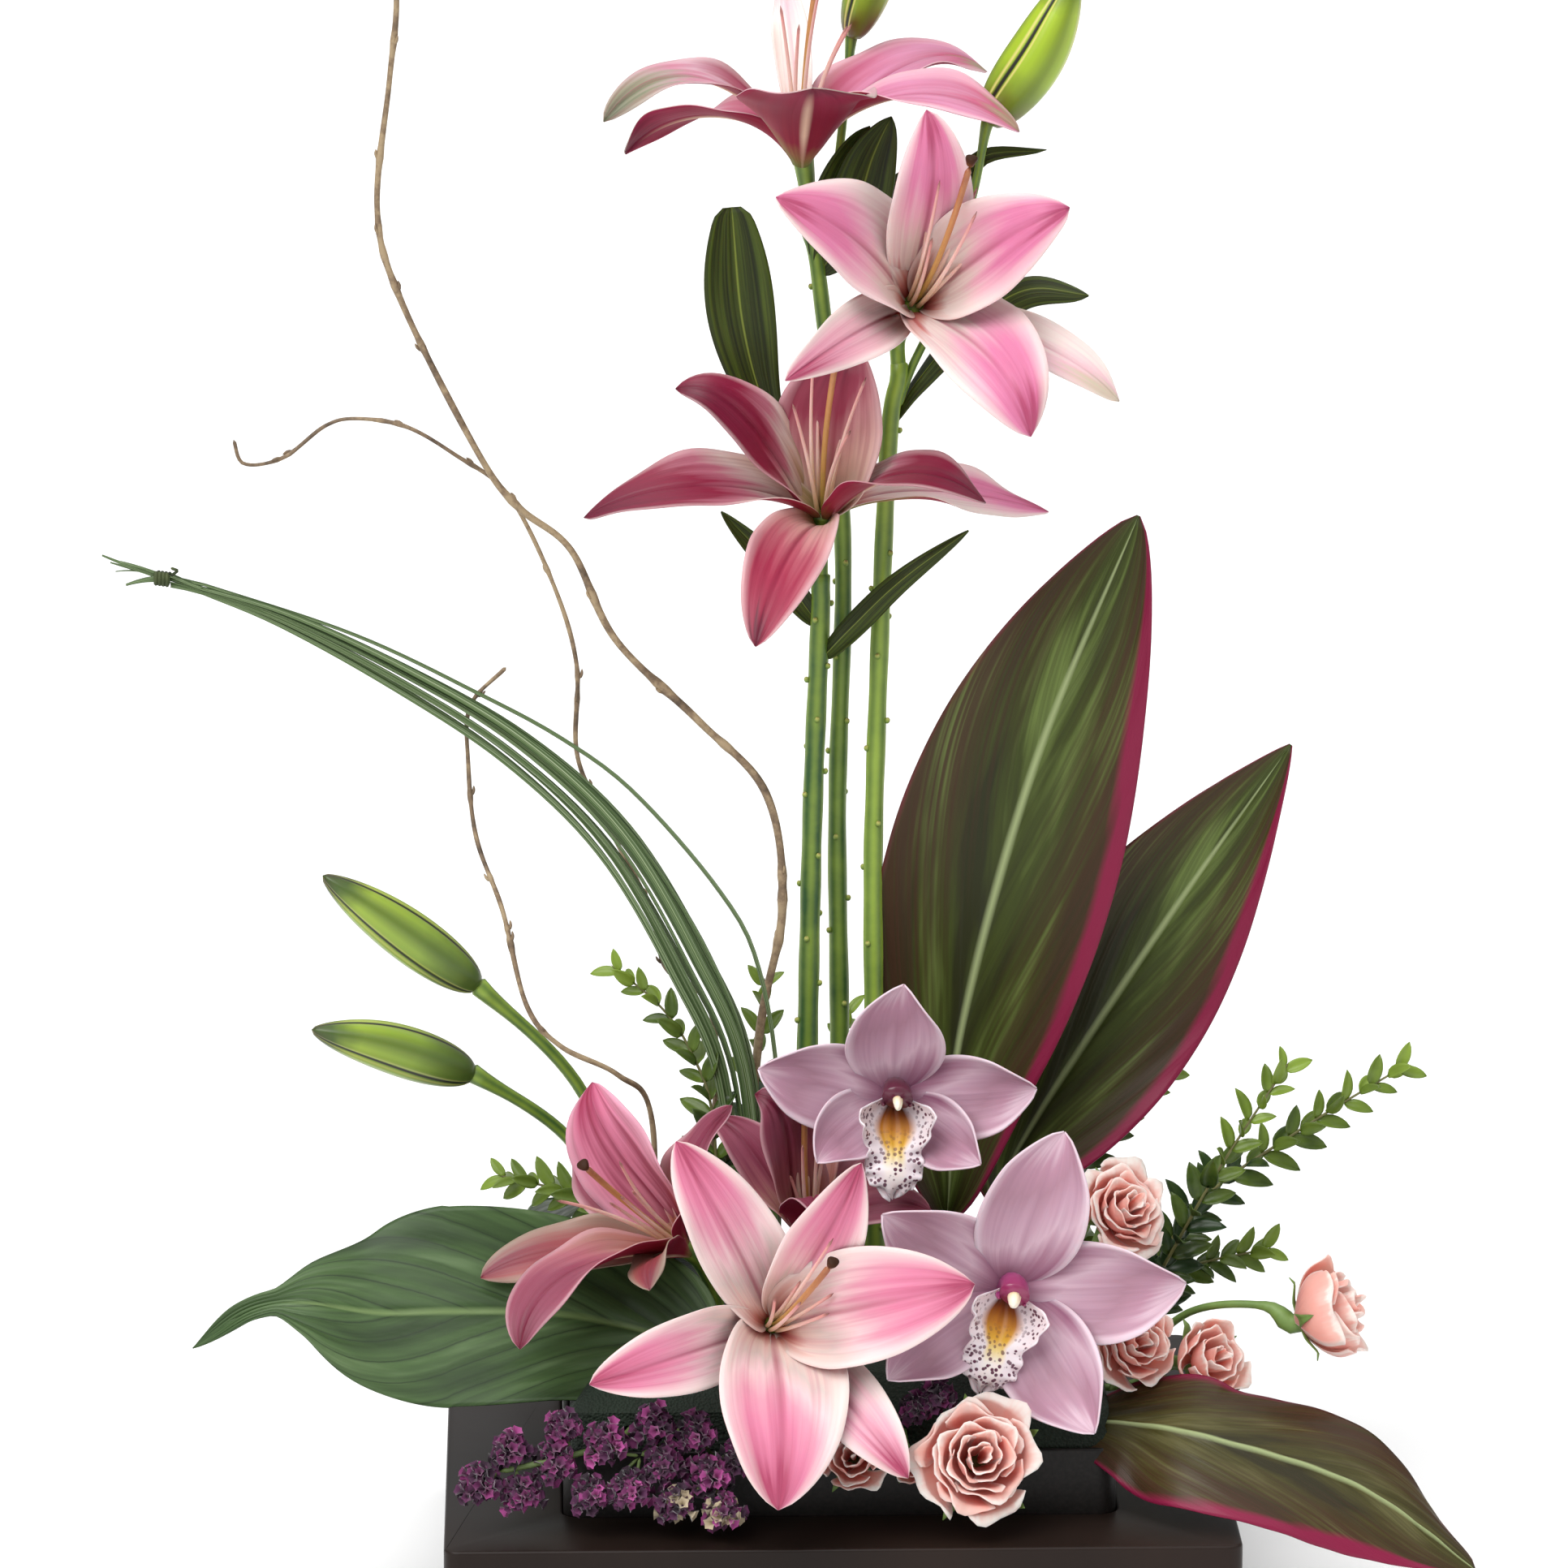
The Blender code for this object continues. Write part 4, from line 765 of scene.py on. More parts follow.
def lily_tepal(base, axis, tip, half, recurve, roll, inner, tone, phase, skins):
    """One tepal: broad and cupped, grooved along its midrib, with waved margins and its tip bent back."""
    out = away(tip - base, axis)
    # the three outer tepals stand behind the three inner ones
    root = base + axis * (0.2 if inner else 0.05) * CM + out * (0.22 if inner else 0.34) * CM
    wide = half * (1.2 if inner else 1.08)

    def relief(s, v):
        groove = -0.09 * hump(s, 0.06) + 0.05 * hump(np.abs(s) - 0.16, 0.08)
        margins = 0.2 * np.abs(s) ** 3 * np.sin(v * 10 + phase + 1.3 * np.sign(s))
        wave = margins + 0.06 * np.sin(v * 21 + phase * 2) * s**2
        return (groove + wave) * half_sine(v) ** 0.5

    made = blade(
        arched(root, tip, axis, recurve, 0.8 if inner else 0.68), np.cross(out, axis),
        half=lambda v: wide * bell(v, 0.47, 0.74, 0.22) + 0.02,
        across=18, along=36,
        cup=lambda v: 1.5 * (1 - v) ** 2 + 0.3 - 0.5 * v**3,
        roll=lambda v: roll * v, relief=relief, tone=tone)
    return thick(paint(made, *skins), 0.45, back=1)


def filaments(base, axis, stigma, skins, rng):
    """Six slender filaments that lost their pollen, round a thicker style with a three-lobed stigma."""
    filament, style, stigma_skin = skins
    reach = np.linalg.norm(stigma - base)
    aim = unit(stigma - base)
    first = unit(np.cross(aim, [0.2, 0.1, 1.0]))
    second = np.cross(aim, first)
    route = bowed(base, base + axis * reach * 0.5, stigma, 24)
    made = [paint(tube(route, lambda v: 0.1 + 0.03 * v, 10, 24), style)]
    end = unit(route[-1] - route[-3])

    def lobes(s, v):
        return 0.035 * np.cos(3 * math.pi * s) * v * np.sqrt(1 - v**6)

    knob = tube(
        np.array([stigma - end * 0.001, stigma + end * 0.0035]),
        lambda v: (0.12 + 0.18 * v) * np.sqrt(1 - v**6), 18, 12, relief=lobes)
    made.append(paint(knob, stigma_skin))
    for k in range(6):
        turn = math.pi * k / 3 + rng.uniform(-0.3, 0.3)
        spoke = first * math.cos(turn) + second * math.sin(turn)
        length = reach * rng.uniform(0.55, 0.92)
        lean = rng.uniform(0.1, 0.32)
        tip = base + (aim * math.cos(lean) + spoke * math.sin(lean)) * length
        middle = base + axis * length * 0.5 + spoke * length * 0.07
        route = bowed(base + spoke * 0.0022, middle, tip, 24)
        made.append(paint(tube(route, lambda v: 0.1 - 0.045 * v, 7, 20), filament))
    return made


def flower_stalk(base, axis, route, radius):
    """The stalk under a lily. A long one widens at its end, a short one over most of its length."""
    swell, start, length = (0.32, 0.85, 0.15) if len(route) > 2 else (0.5, 0.3, 0.7)
    knots = [*route, tuple(np.array(base) + axis * 0.75)]
    return tube(through(knots, 30), lambda v: radius * (1 + swell * rise(v, start, length)), 12, 30)


class LilySettings(bpy.types.PropertyGroup):
    """Colours and sizes of the lilies."""

    cream: bpy.props.FloatVectorProperty(
        name="Cream", description="Colour of the pale heart of a petal", default=gamma("EEDED8"), **COLOUR)
    blush: bpy.props.FloatVectorProperty(
        name="Blush", description="Colour of a pale petal towards its tip", default=gamma("D67E9C"),
        **COLOUR)
    deep: bpy.props.FloatVectorProperty(
        name="Deep", description="Colour of the deepest petals", default=gamma("86183A"), **COLOUR)
    width: bpy.props.FloatProperty(
        name="Petal width", description="Width of the petals against their usual one", default=1.0, min=0.6,
        max=1.3, subtype="FACTOR")
    stalk: bpy.props.FloatProperty(
        name="Stalk radius", description="Radius of the stalk under a flower, in centimetres", default=0.3,
        min=0.1, max=0.6)
    seed: bpy.props.IntProperty(
        name="Variation", description="Seed for the small differences between flowers", default=7, min=0)


class FLOWERS_OT_lilies(bpy.types.Operator):
    """Six open lilies, each with its tepals, filaments, style and stalk"""

    bl_idname = "flowers.lilies"
    bl_label = "Lilies"

    def execute(self, context):
        settings = context.scene.flowers_lily
        skins = lily_materials(as_hex(settings.cream), as_hex(settings.blush), as_hex(settings.deep))
        stalk = bpy.data.materials["Lily stem"]
        # Filament: moist and thin, greenish at the foot, pink above and brown where the anther dried away
        filament = threadlike(
            "Lily filament",
            ((0.0, "9AA050"), (0.15, "E0C8A0"), (0.5, "F0D2C4"), (0.9, "D89A94"), (1.0, "5A2A1C")), 0.1,
            roughness=0.4, subsurface_weight=0.2, subsurface_scale=0.001)
        # Style: fleshy and smooth, olive at its foot, then tan to brown
        style = threadlike(
            "Lily style", ((0.0, "A8A04A"), (0.3, "C8A058"), (0.7, "BE8450"), (1.0, "96583A")),
            roughness=0.35)
        # Stigma: three swollen lobes, velvety brown, with little gloss
        velvet = threadlike(
            "Lily stigma", ((0.0, "7A4A28"), (0.4, "4A2A16"), (1.0, "341D10")), 0.4, roughness=0.55,
            specular_ior_level=0.15)
        for number, (name, (base, axis, tepals, stalk_route, stigma, face)) in enumerate(LILIES.items()):
            rng = random.Random(settings.seed + number)
            axis = unit(np.array(axis))
            foot = np.array(base) * CM
            made = []
            for k, (tip, half, recurve, roll, *other) in enumerate(tepals):
                tone = 0.5 + rng.uniform(-0.22, 0.22)
                inner_face = skins[other[0] if other else face]
                made.append(lily_tepal(
                    foot, axis, np.array(tip) * CM, half * settings.width, recurve, roll, k % 2 == 0, tone,
                    rng.uniform(0, 6), (inner_face, skins["outer"])))
            threads = (filament, style, velvet)
            made += filaments(foot + axis * 0.004, axis, np.array(stigma) * CM, threads, rng)
            made.append(paint(flower_stalk(base, axis, stalk_route, settings.stalk), stalk))
            dress(join(name.replace("bloom", "flower"), made), name)
        return {"FINISHED"}


# Each bud: node, base, tip, widest radius, then its stalk's radius and route
BUDS = {
    "lily_bud_top_right": (
        (5.9, 1.6, 57.4), (9.3, 1.0, 63.4), 1.12, 0.17, (2.5, 2.5, 46.2), (3.1, 2.85, 47.8),
        (4.2, 3.1, 50.2), (5.4, 2.4, 54.5)),
    "lily_bud_top_centre": (
        (0.9, 6.7, 60.0), (2.4, 6.0, 66.8), 0.9, 0.17, (-0.35, 3.45, 50.6), (-0.5, 3.95, 52.2),
        (0.2, 5.0, 54.5), (0.7, 6.5, 58.0)),
    "lily_bud_low_upper": (
        (-13.6, -1.0, 24.4), (-19.6, -2.0, 29.1), 1.0, 0.24, (-7.6, 0.7, 6.4), (-7.7, 0.7, 12.0),
        (-9.5, 0.4, 19.6)),
    "lily_bud_low_lower": (
        (-13.8, 0.0, 20.7), (-20.1, -1.5, 22.9), 1.0, 0.24, (-8.4, 2.3, 6.4), (-8.4, 2.2, 12.0),
        (-9.9, 1.4, 17.4)),
}


BUD_TURN = -0.15  # how far a bud is turned about its length, in half turns


def bud_material(name, ripe_skin, edge, lit, foot):
    """Lily bud: tight green tepals with darker keels, and dark seams, painted shade in their grooves,
    between paler lips where they meet.
    """
    made, tree, shader = new_material(name, roughness=0.36, subsurface_weight=0.15, subsurface_scale=0.002)
    across, along = own_place(tree)
    turn = maths(tree, "MULTIPLY_ADD", across, 6 * math.pi, -3 * math.pi * (1.5 + BUD_TURN))
    wave = maths(tree, "COSINE", turn)
    # painted shade: a near-black line down the groove of each seam
    seam_painted_shade = ramp(tree, wave, ((0.0, 0.0), (0.94, 0.0), (0.985, 1.0)))
    lip = ramp(tree, wave, ((0.0, 0.0), (0.7, 0.0), (0.86, lit), (0.94, 0.0)))
    keel = ramp(tree, maths(tree, "MULTIPLY_ADD", wave, 0.5, 0.5), ((0.0, 0.7), (0.12, 0.4), (0.45, 0.0)))
    ripe = maths(tree, "MULTIPLY_ADD", solid(tree, "Noise", scale=60.0, detail=3.0), 0.25, -0.12)
    stops = (
        (0.0, foot), (0.1, foot, edge, 0.4), (0.24, ripe_skin, edge), (0.4, ripe_skin),
        (0.75, ripe_skin, "B4C832", 0.25), (0.9, edge), (1.0, edge, "2A1A10"))
    colour = ramp(tree, maths(tree, "ADD", along, ripe), stops)
    shaded = tinted(tree, colour, edge, keel)
    lipped = tinted(tree, shaded, "DCD07C", lip)
    wire(tree, shader, tinted(tree, lipped, "1E1C10", seam_painted_shade))
    return made


def closed_bud(base, tip, radius):
    """A closed bud: fullest below its middle, grooved where its tepals meet and ridged between."""
    a, b = np.array(base), np.array(tip)
    bow = (a + b) / 2 + np.array([0.25, 0.0, -0.25]) * (1 if b[0] > a[0] else -1)

    def relief(s, v):
        wave = np.cos(3 * math.pi * (s - 0.5 - BUD_TURN))
        ribbed = -0.13 * np.clip(wave, 0, 1) ** 8 + 0.08 * np.clip(-wave, 0, 1) ** 3
        return ribbed * np.sin(np.pi * v) ** 0.6

    return tube(
        through((base, tuple(bow), tip), 36),
        lambda v: radius * np.maximum(bell(v, 0.4, 0.68), 0.1 + 0.25 * (1 - v) ** 4), 36, 40, relief=relief)


def bud_stalk(base, tip, radius, route):
    """The stalk under a bud, swollen where it meets it."""
    a, b = np.array(base), np.array(tip)
    knots = [*route, base, tuple(a + (b - a) * 0.08)]
    return tube(through(knots, 36), lambda v: radius * (1 + 0.9 * rise(v, 0.84, 0.16) ** 2), 10, 36)


class FLOWERS_OT_lily_buds(bpy.types.Operator):
    """Four closed lily buds on their stalks"""

    bl_idname = "flowers.lily_buds"
    bl_label = "Lily buds"

    def execute(self, context):
        stalk = bpy.data.materials["Lily stem"]
        ripe = bud_material("Lily bud, ripening", "9CB828", "64781E", 0.9, "5E3A18")
        green = bud_material("Lily bud, green", "86A03C", "42581E", 0.35, "4A5E24")
        for name, (base, tip, radius, stem, *route) in BUDS.items():
            made = [
                paint(closed_bud(base, tip, radius), ripe if "top" in name else green),
                paint(bud_stalk(base, tip, stem, route), stalk),
            ]
            dress(join(name.replace("bud", "closed_bud"), made), name)
        return {"FINISHED"}


# ---- tall stems and their leaves

# Each stem: node, radius at its foot and at its top, route
STEMS = {
    "lily_stem_left": (
        0.44, 0.38, (-1.1, 2.0, 4.4), (-1.1, 2.0, 12.0), (-0.9, 2.0, 21.2), (-0.7, 2.0, 30.6),
        (-0.4, 2.0, 38.4), (-0.4, 2.0, 39.3), (-0.4, 2.0, 40.2)),
    "lily_stem_middle": (
        0.44, 0.29, (0.3, 3.6, 4.4), (0.3, 3.6, 12.0), (0.4, 3.5, 21.2), (0.3, 3.5, 30.3), (0.5, 3.5, 41.2),
        (-0.4, 3.4, 51.0), (-0.9, 3.2, 53.3), (-0.9, 3.2, 54.2)),
    "lily_stem_right": (
        0.42, 0.34, (1.8, 2.5, 4.4), (1.8, 2.5, 12.0), (1.7, 2.5, 22.7), (1.7, 2.5, 30.5), (2.2, 2.5, 44.5),
        (2.6, 2.5, 47.5), (2.6, 2.5, 48.4)),
}

# Leaves left on the stems: node, half width, way across, where it is widest, sharpness, cup, spine
STEM_LEAVES = {
    "lily_leaf_blunt": (
        1.3, (1, 0, 0.1), 0.62, 1.3, 0.4, (0.3, 3.4, 44.2), (-1.2, 2.9, 44.7), (-2.5, 2.3, 46.4),
        (-3.4, 1.9, 49.8), (-3.8, 2.1, 54.2)),
    "lily_leaf_long": (
        0.42, (-0.6, 0.2, 0.8), 0.4, 0.8, 0.7, (-0.3, 1.95, 36.7), (0.8, 0.9, 38.1), (2.6, 0.2, 40.0),
        (5.2, 0.0, 42.0)),
    "lily_leaf_left_upper": (
        0.5, (0.5, 0, 0.9), 0.4, 0.8, 0.7, (-0.5, 2.0, 38.0), (-2.2, 2.5, 40.2), (-4.2, 3.2, 42.2)),
    "lily_leaf_right_upper": (
        0.75, (0, 0.6, 0.8), 0.6, 0.7, 0.5, (2.45, 2.55, 45.8), (3.3, 2.8, 47.2), (5.0, 2.6, 49.2),
        (7.4, 1.6, 51.0), (9.8, 1.0, 50.9)),
    "lily_leaf_fork": (
        1.15, (1, 0, -0.3), 0.5, 0.7, 0.6, (-0.4, 3.35, 51.4), (0.9, 3.0, 53.8), (1.6, 2.8, 56.0),
        (2.3, 2.5, 57.6)),
}

# Small leaves that grow beside those: leaf, half width, spine
SMALL_LEAVES = (
    ("lily_leaf_fork", 0.75, (-0.5, 3.35, 51.8), (0.1, 3.0, 54.6), (0.9, 2.9, 56.4), (1.5, 2.8, 57.2)),
    ("lily_leaf_fork", 0.6, (-0.4, 3.4, 51.6), (0.7, 3.4, 53.4), (2.2, 3.6, 54.6), (2.9, 3.6, 55.4)),
    ("lily_leaf_right_upper", 0.42, (3.8, 3.0, 49.2), (4.8, 2.6, 53.6), (5.6, 2.2, 56.0), (8.2, 1.8, 56.4)),
)


def scarred_stem(low, high, route, skin, scar, rng):
    """A cut stem, slightly uneven, with a corky scar wherever a leaf was stripped off."""
    steps = 120
    spine = through(route, steps)
    shaft = tube(
        spine, lambda v: low + (high - low) * v + 0.012 * np.sin(v * 70), 14, steps,
        tone=rng.uniform(0.35, 0.65))
    made = [paint(shaft, skin)]
    sides = carried(spine)
    k, turn = steps // 5, rng.uniform(0, 6)
    while k < steps - 4:
        spoke, up = spoke_at(sides, k, turn), ahead_at(spine, k)
        at = spine[k] + spoke * (low + (high - low) * k / steps) * 0.96 * CM
        ledge = np.array([at - up * 0.0014, at + spoke * 0.0006, at + spoke * 0.0012 + up * 0.0012])
        made.append(paint(tube(ledge, lambda v: 0.11 * half_sine(v, 0.08) ** 0.5, 7, 6), scar))
        k += rng.randint(2, 5)
        turn += GOLDEN_TURN
    return made


def stem_leaf(name, half, margin, widest, sharp, cup, *route):
    """A narrow channelled leaf. The cut one ends before its outline closes, in a rounded stub."""
    reach, cut = (0.88, 0.7) if name.endswith("blunt") else (1.0, 1.0)

    def width(v):
        end = np.sqrt(1 - cut * np.clip(v * 25 - 24, 0, 1) ** 2)
        return (half * bell(reach * v, widest, sharp) + 0.12 * (1 - v)) * end + 0.015

    def relief(s, v):
        return -0.05 * hump(s, 0.1) + 0.04 * np.abs(s) ** 3 * np.sin(v * 9)

    return blade(through(route, 40), margin, width, 12, 40, cup=cup, relief=relief)


def small_leaf(half, *route):
    """A small leaf beside a larger one."""
    return blade(
        through(route, 24), (0.7, 0.1, -0.5), lambda v: half * bell(v, 0.45, 0.75) + 0.08 * (1 - v) + 0.01,
        8, 24, cup=0.6)


class FLOWERS_OT_lily_stems(bpy.types.Operator):
    """Three tall cut stems with leaf scars, and the leaves left on them"""

    bl_idname = "flowers.lily_stems"
    bl_label = "Lily stems"

    def execute(self, context):
        # Lily stem: moist and smooth, yellow-green; painted highlight on five ribs, painted shade between
        # them
        skin = plant_skin(
            "Lily stem", "8EA83C", "28501F", 45.0, 0.22, roughness=0.42, subsurface_weight=0.1,
            subsurface_scale=0.002)
        # Leaf scar: a corky ledge, yellow where the cut is fresh and brown at its lip
        scar = threadlike(
            "Leaf scar", ((0.0, "4E6A2A"), (0.5, "7C9440"), (0.85, "AEB05C"), (1.0, "7A5A34")),
            roughness=0.65)
        # Lily leaf: dark and waxy, with fine veins side by side and a paler midrib
        leaf_skin = striped(
            "Lily leaf", ((0.3, "1A200A"), (0.5, "2B3510"), (0.7, "465618")), "56661E", 0.3, 12.0, "7C8A38",
            depth=0.0005, roughness=0.45, specular_ior_level=0.25, subsurface_weight=0.05,
            subsurface_scale=0.002)
        for name, (low, high, *route) in STEMS.items():
            made = scarred_stem(low, high, route, skin, scar, random.Random(len(name)))
            dress(join(name.replace("stem", "cut_stem"), made), name)
        for name, leaf in STEM_LEAVES.items():
            made = [thick(paint(stem_leaf(name, *leaf), leaf_skin), 0.5)]
            for beside, *small in SMALL_LEAVES:
                if beside == name:
                    made.append(thick(paint(small_leaf(*small), leaf_skin), 0.5))
            dress(join(name.replace("leaf", "stem_leaf"), made), name)
        return {"FINISHED"}


# ---- orchids

# Each orchid: node, base, axis, six parts round the axis (tip, half width), stalk. The fourth is the lip.
ORCHIDS = {
    "orchid_upper": (
        (2.2, -4.9, 20.9), (0.05, -0.99, 0.12),
        (
            ((2.5, -6.9, 25.8), 1.85), ((-3.0, -6.3, 22.4), 1.65), ((-0.8, -7.4, 19.0), 1.3),
            ((2.0, -8.6, 18.2), 1.0), ((5.4, -7.8, 19.0), 1.3), ((7.6, -6.0, 21.5), 1.6)),
        ((2.4, -2.6, 6.4), (2.4, -2.6, 13.0), (2.3, -3.6, 20.0))),
    "orchid_lower": (
        (6.3, -9.9, 14.6), (0.1, -0.99, 0.05),
        (
            ((8.4, -10.8, 21.0), 2.0), ((1.5, -12.2, 18.2), 1.8), ((1.7, -13.0, 12.0), 1.7),
            ((6.0, -13.6, 11.2), 1.0), ((9.5, -12.8, 9.8), 1.9), ((13.0, -11.2, 15.2), 1.95)),
        ((6.0, -6.0, 6.4), (6.1, -6.2, 12.0), (6.2, -8.4, 14.2))),
}


def orchid_sepal(foot, axis, tip, half, top, tone, skins):
    """A firm, slightly hooded sepal or petal, with a low keel and waved margins. The top one stands
    forward."""
    out = away(tip - foot, axis)
    root = foot + out * 0.0018
    reach = np.linalg.norm(tip - root)
    sway = np.cross(out, axis) * reach * 0.07 * math.sin(40 * tone)
    bow = root + out * reach * 0.5 + axis * (0.22 if top else 0.1) * reach + sway

    def width(v):
        return half * 1.08 * bell(v, 0.5, 0.6, 0.3) * (1 - 0.3 * rise(v, 0.72, 0.28) ** 1.5) + 0.02

    def relief(s, v):
        keel = 0.05 * hump(s, 0.07) * half_sine(v)
        return keel + 0.24 * np.abs(s) ** 3 * np.sin(v * 7 + tone * 19 + 1.4 * np.sign(s)) * v * (1 - v**4)

    made = blade(
        bowed(root, bow, tip, 40), np.cross(out, axis), width, 20, 34,
        cup=lambda v: 0.6 + 0.5 * v**2 - 0.9 * (1 - v) ** 3, roll=lambda v: 0.3 * v * math.sin(23 * tone),
        relief=relief, tone=tone)
    return thick(paint(made, *skins), 0.7, back=1)


# How far forward and how far up the lip and the column pass, in centimetres
LIP_ROUTE = ((0.1, 0.1), (0.45, -0.5), (0.9, -1.3), (1.3, -2.1), (1.55, -2.8), (1.45, -3.35), (1.05, -3.7))
COLUMN_ROUTE = ((-0.1, 0.0), (0.6, 0.35), (1.3, 0.4), (1.75, 0.12))


def orchid_lip(foot, axis, up, size, skin):
    """The lip: side lobes beside the column, a ruffled middle lobe that hangs, two ridges in its throat."""
    route = through([tuple((foot + (axis * a + up * b) * size * CM) / CM) for a, b in LIP_ROUTE], 60)

    def half(v):
        side = 2.3 * hump(v - 0.33, 0.24)
        middle = 1.2 * np.sqrt(np.clip(1 - ((v - 0.7) / 0.302) ** 2, 0, 1))
        return np.maximum(np.maximum(side, middle), 0.1) * size

    def relief(s, v):
        ruffle = 0.2 * np.abs(s) ** 3 * np.sin(v * 44 + 1.5 * np.sign(s)) * rise(v, 0.15, 0.25)
        end = 0.18 * rise(v, 0.85, 0.15) * np.sin(9 * s)
        ridge = 0.18 * hump(np.abs(s) - 0.11, 0.05) * np.clip(1 - v / 0.66, 0, 1) ** 0.4
        return ruffle + end + ridge

    sheet = blade(
        route, np.cross(axis, up), half, 32, 52, cup=lambda v: 1.55 - 2.15 * rise(v, 0.42, 0.25),
        relief=relief)
    return thick(paint(sheet, skin), 0.6)


def orchid_column(foot, axis, up, lid, column, cap):
    """The column arches over the lip and carries a cream cap over the pollen. lid is the cap's radius."""
    right = np.cross(axis, up)
    bent = through([tuple((foot + axis * a * CM + up * b * CM) / CM) for a, b in COLUMN_ROUTE], 20)
    body = tube(
        bent, lambda v: 0.42 + 0.16 * v, 16, 20, relief=lambda s, v: 0.05 * np.cos(2 * math.pi * s) * v)
    end = unit(bent[-1] - bent[-3])
    nose = tube(
        np.array([bent[-1] - end * 0.001, bent[-1] + end * 0.0022, bent[-1] + end * 0.0042 - up * 0.0012]),
        lambda v: lid * np.sqrt(np.clip(1 - v**2, 0.02, 1)), 14, 10,
        relief=lambda s, v: -0.05 * hump(s, 0.12))
    made = [paint(body, column), paint(nose, cap)]
    for k in (-1, 1):
        low = foot + axis * 0.007 + right * k * 0.0046
        high = foot + axis * 0.0165 + right * k * 0.0052 - up * 0.0012
        made.append(paint(tube(np.array([low, high]), lambda v: 0.13 * half_sine(v, 0.06), 8, 8), column))
    return made


class OrchidSettings(bpy.types.PropertyGroup):
    """Colour and size of the orchids."""

    petal: bpy.props.FloatVectorProperty(
        name="Petals", description="Colour of the sepals and petals", default=gamma("BC96A8"), **COLOUR)
    lip: bpy.props.FloatProperty(
        name="Lip size", description="Size of the lip against its usual one", default=1.0, min=0.5, max=1.3,
        subtype="FACTOR")


class FLOWERS_OT_orchids(bpy.types.Operator):
    """Two cymbidium orchids, each with five sepals and petals, a spotted lip and a column"""

    bl_idname = "flowers.orchids"
    bl_label = "Orchids"

    def execute(self, context):
        settings = context.scene.flowers_orchid
        skins = orchid_materials(as_hex(settings.petal))
        lip = lip_material()
        # Column: firm and waxy, magenta on one flower and near-black maroon, partly painted shade, on the
        # other
        waxy = {"roughness": 0.32, "coat_weight": 0.3}
        dark = threadlike(
            "Orchid column, maroon and painted shade", ((0.0, "1E0810"), (0.6, "3A101E"), (1.0, "5E1C34")), **waxy)
        bright = threadlike(
            "Orchid column, magenta", ((0.0, "6A1A4C"), (0.6, "96306E"), (1.0, "8E2A54")), **waxy)
        # Anther cap: a firm cream lid over the pollen, faintly waxy
        cap = threadlike(
            "Anther cap", ((0.0, "EBD3A8"), (0.6, "F6EAD2"), (1.0, "FBF4E4")), roughness=0.35,
            subsurface_weight=0.3, subsurface_scale=0.001)
        # Orchid stalk: smooth and pale green, with little gloss
        stalk = plant_skin("Orchid stalk", "93A55A", "5A6E38", 60.0, roughness=0.45)
        for name, (base, axis, parts, route) in ORCHIDS.items():
            axis, foot = unit(np.array(axis)), np.array(base) * CM
            tips = [np.array(tip) * CM for tip, _ in parts]
            up = away(unit(tips[0] - foot), axis)
            # three sepals, then the two petals between them, and not the lip
            made = [
                orchid_sepal(foot, axis, tips[k], parts[k][1], k == 0, 0.3 + 0.1 * k, skins)
                for k in (0, 2, 4, 1, 5)
            ]
            # the upper flower takes the near-black column, darkened partly with painted shade under its arch
            size, lid, column = (0.98, 0.2, dark) if name.endswith("upper") else (1.0, 0.27, bright)
            made.append(orchid_lip(foot, axis, up, size * settings.lip, lip))
            made += orchid_column(foot, axis, up, lid, column, cap)
            knots = [*route, tuple(np.array(base) + axis * 0.15)]
            made.append(
                paint(tube(through(knots, 30), lambda v: 0.22 + 0.2 * rise(v, 0.7, 0.3), 10, 30), stalk))
            dress(join(name.replace("orchid", "cymbidium"), made), name)
        return {"FINISHED"}


# ---- roses

# Each rose: node, centre, the way it faces, radius, how far open, stalk
ROSES = {
    "rose_front": ((5.1, -13.6, 9.1), (0.1, -0.9, 0.35), 2.5, 0.75, (4.9, -8.0, 9.4), (4.9, -10.9, 9.2)),
    "rose_front_small": (
        (0.4, -12.2, 8.8), (-0.1, -0.85, 0.4), 1.45, 0.5, (0.4, -8.0, 9.4), (0.4, -10.6, 9.3)),
    "rose_front_tiny": ((2.6, -11.9, 8.4), (0.0, -0.9, 0.3), 0.8, 0.2, (2.4, -8.0, 9.3), (2.4, -10.7, 9.1)),
    "rose_right_upper": (
        (11.0, -5.6, 16.6), (0.4, -0.75, 0.5), 2.0, 0.9, (8.4, -4.6, 6.4), (8.5, -4.6, 12.0),
        (9.6, -4.9, 14.4)),
    "rose_right_mid": (
        (11.3, -8.2, 12.0), (0.3, -0.85, 0.35), 1.85, 0.5, (8.3, -7.4, 6.4), (8.5, -7.4, 11.8)),
    "rose_right_low": (
        (14.2, -7.2, 11.1), (0.5, -0.75, 0.4), 1.75, 0.35, (7.9, -5.6, 9.5), (11.0, -5.8, 9.7),
        (12.8, -6.4, 10.6)),
    "rose_side": (
        (18.6, -7.4, 13.0), (0.9, -0.16, 0.36), 2.3, 0.15, (7.5, -3.0, 9.5), (10.9, -3.3, 9.8),
        (13.6, -5.4, 12.5), (16.3, -6.8, 13.1)),
}


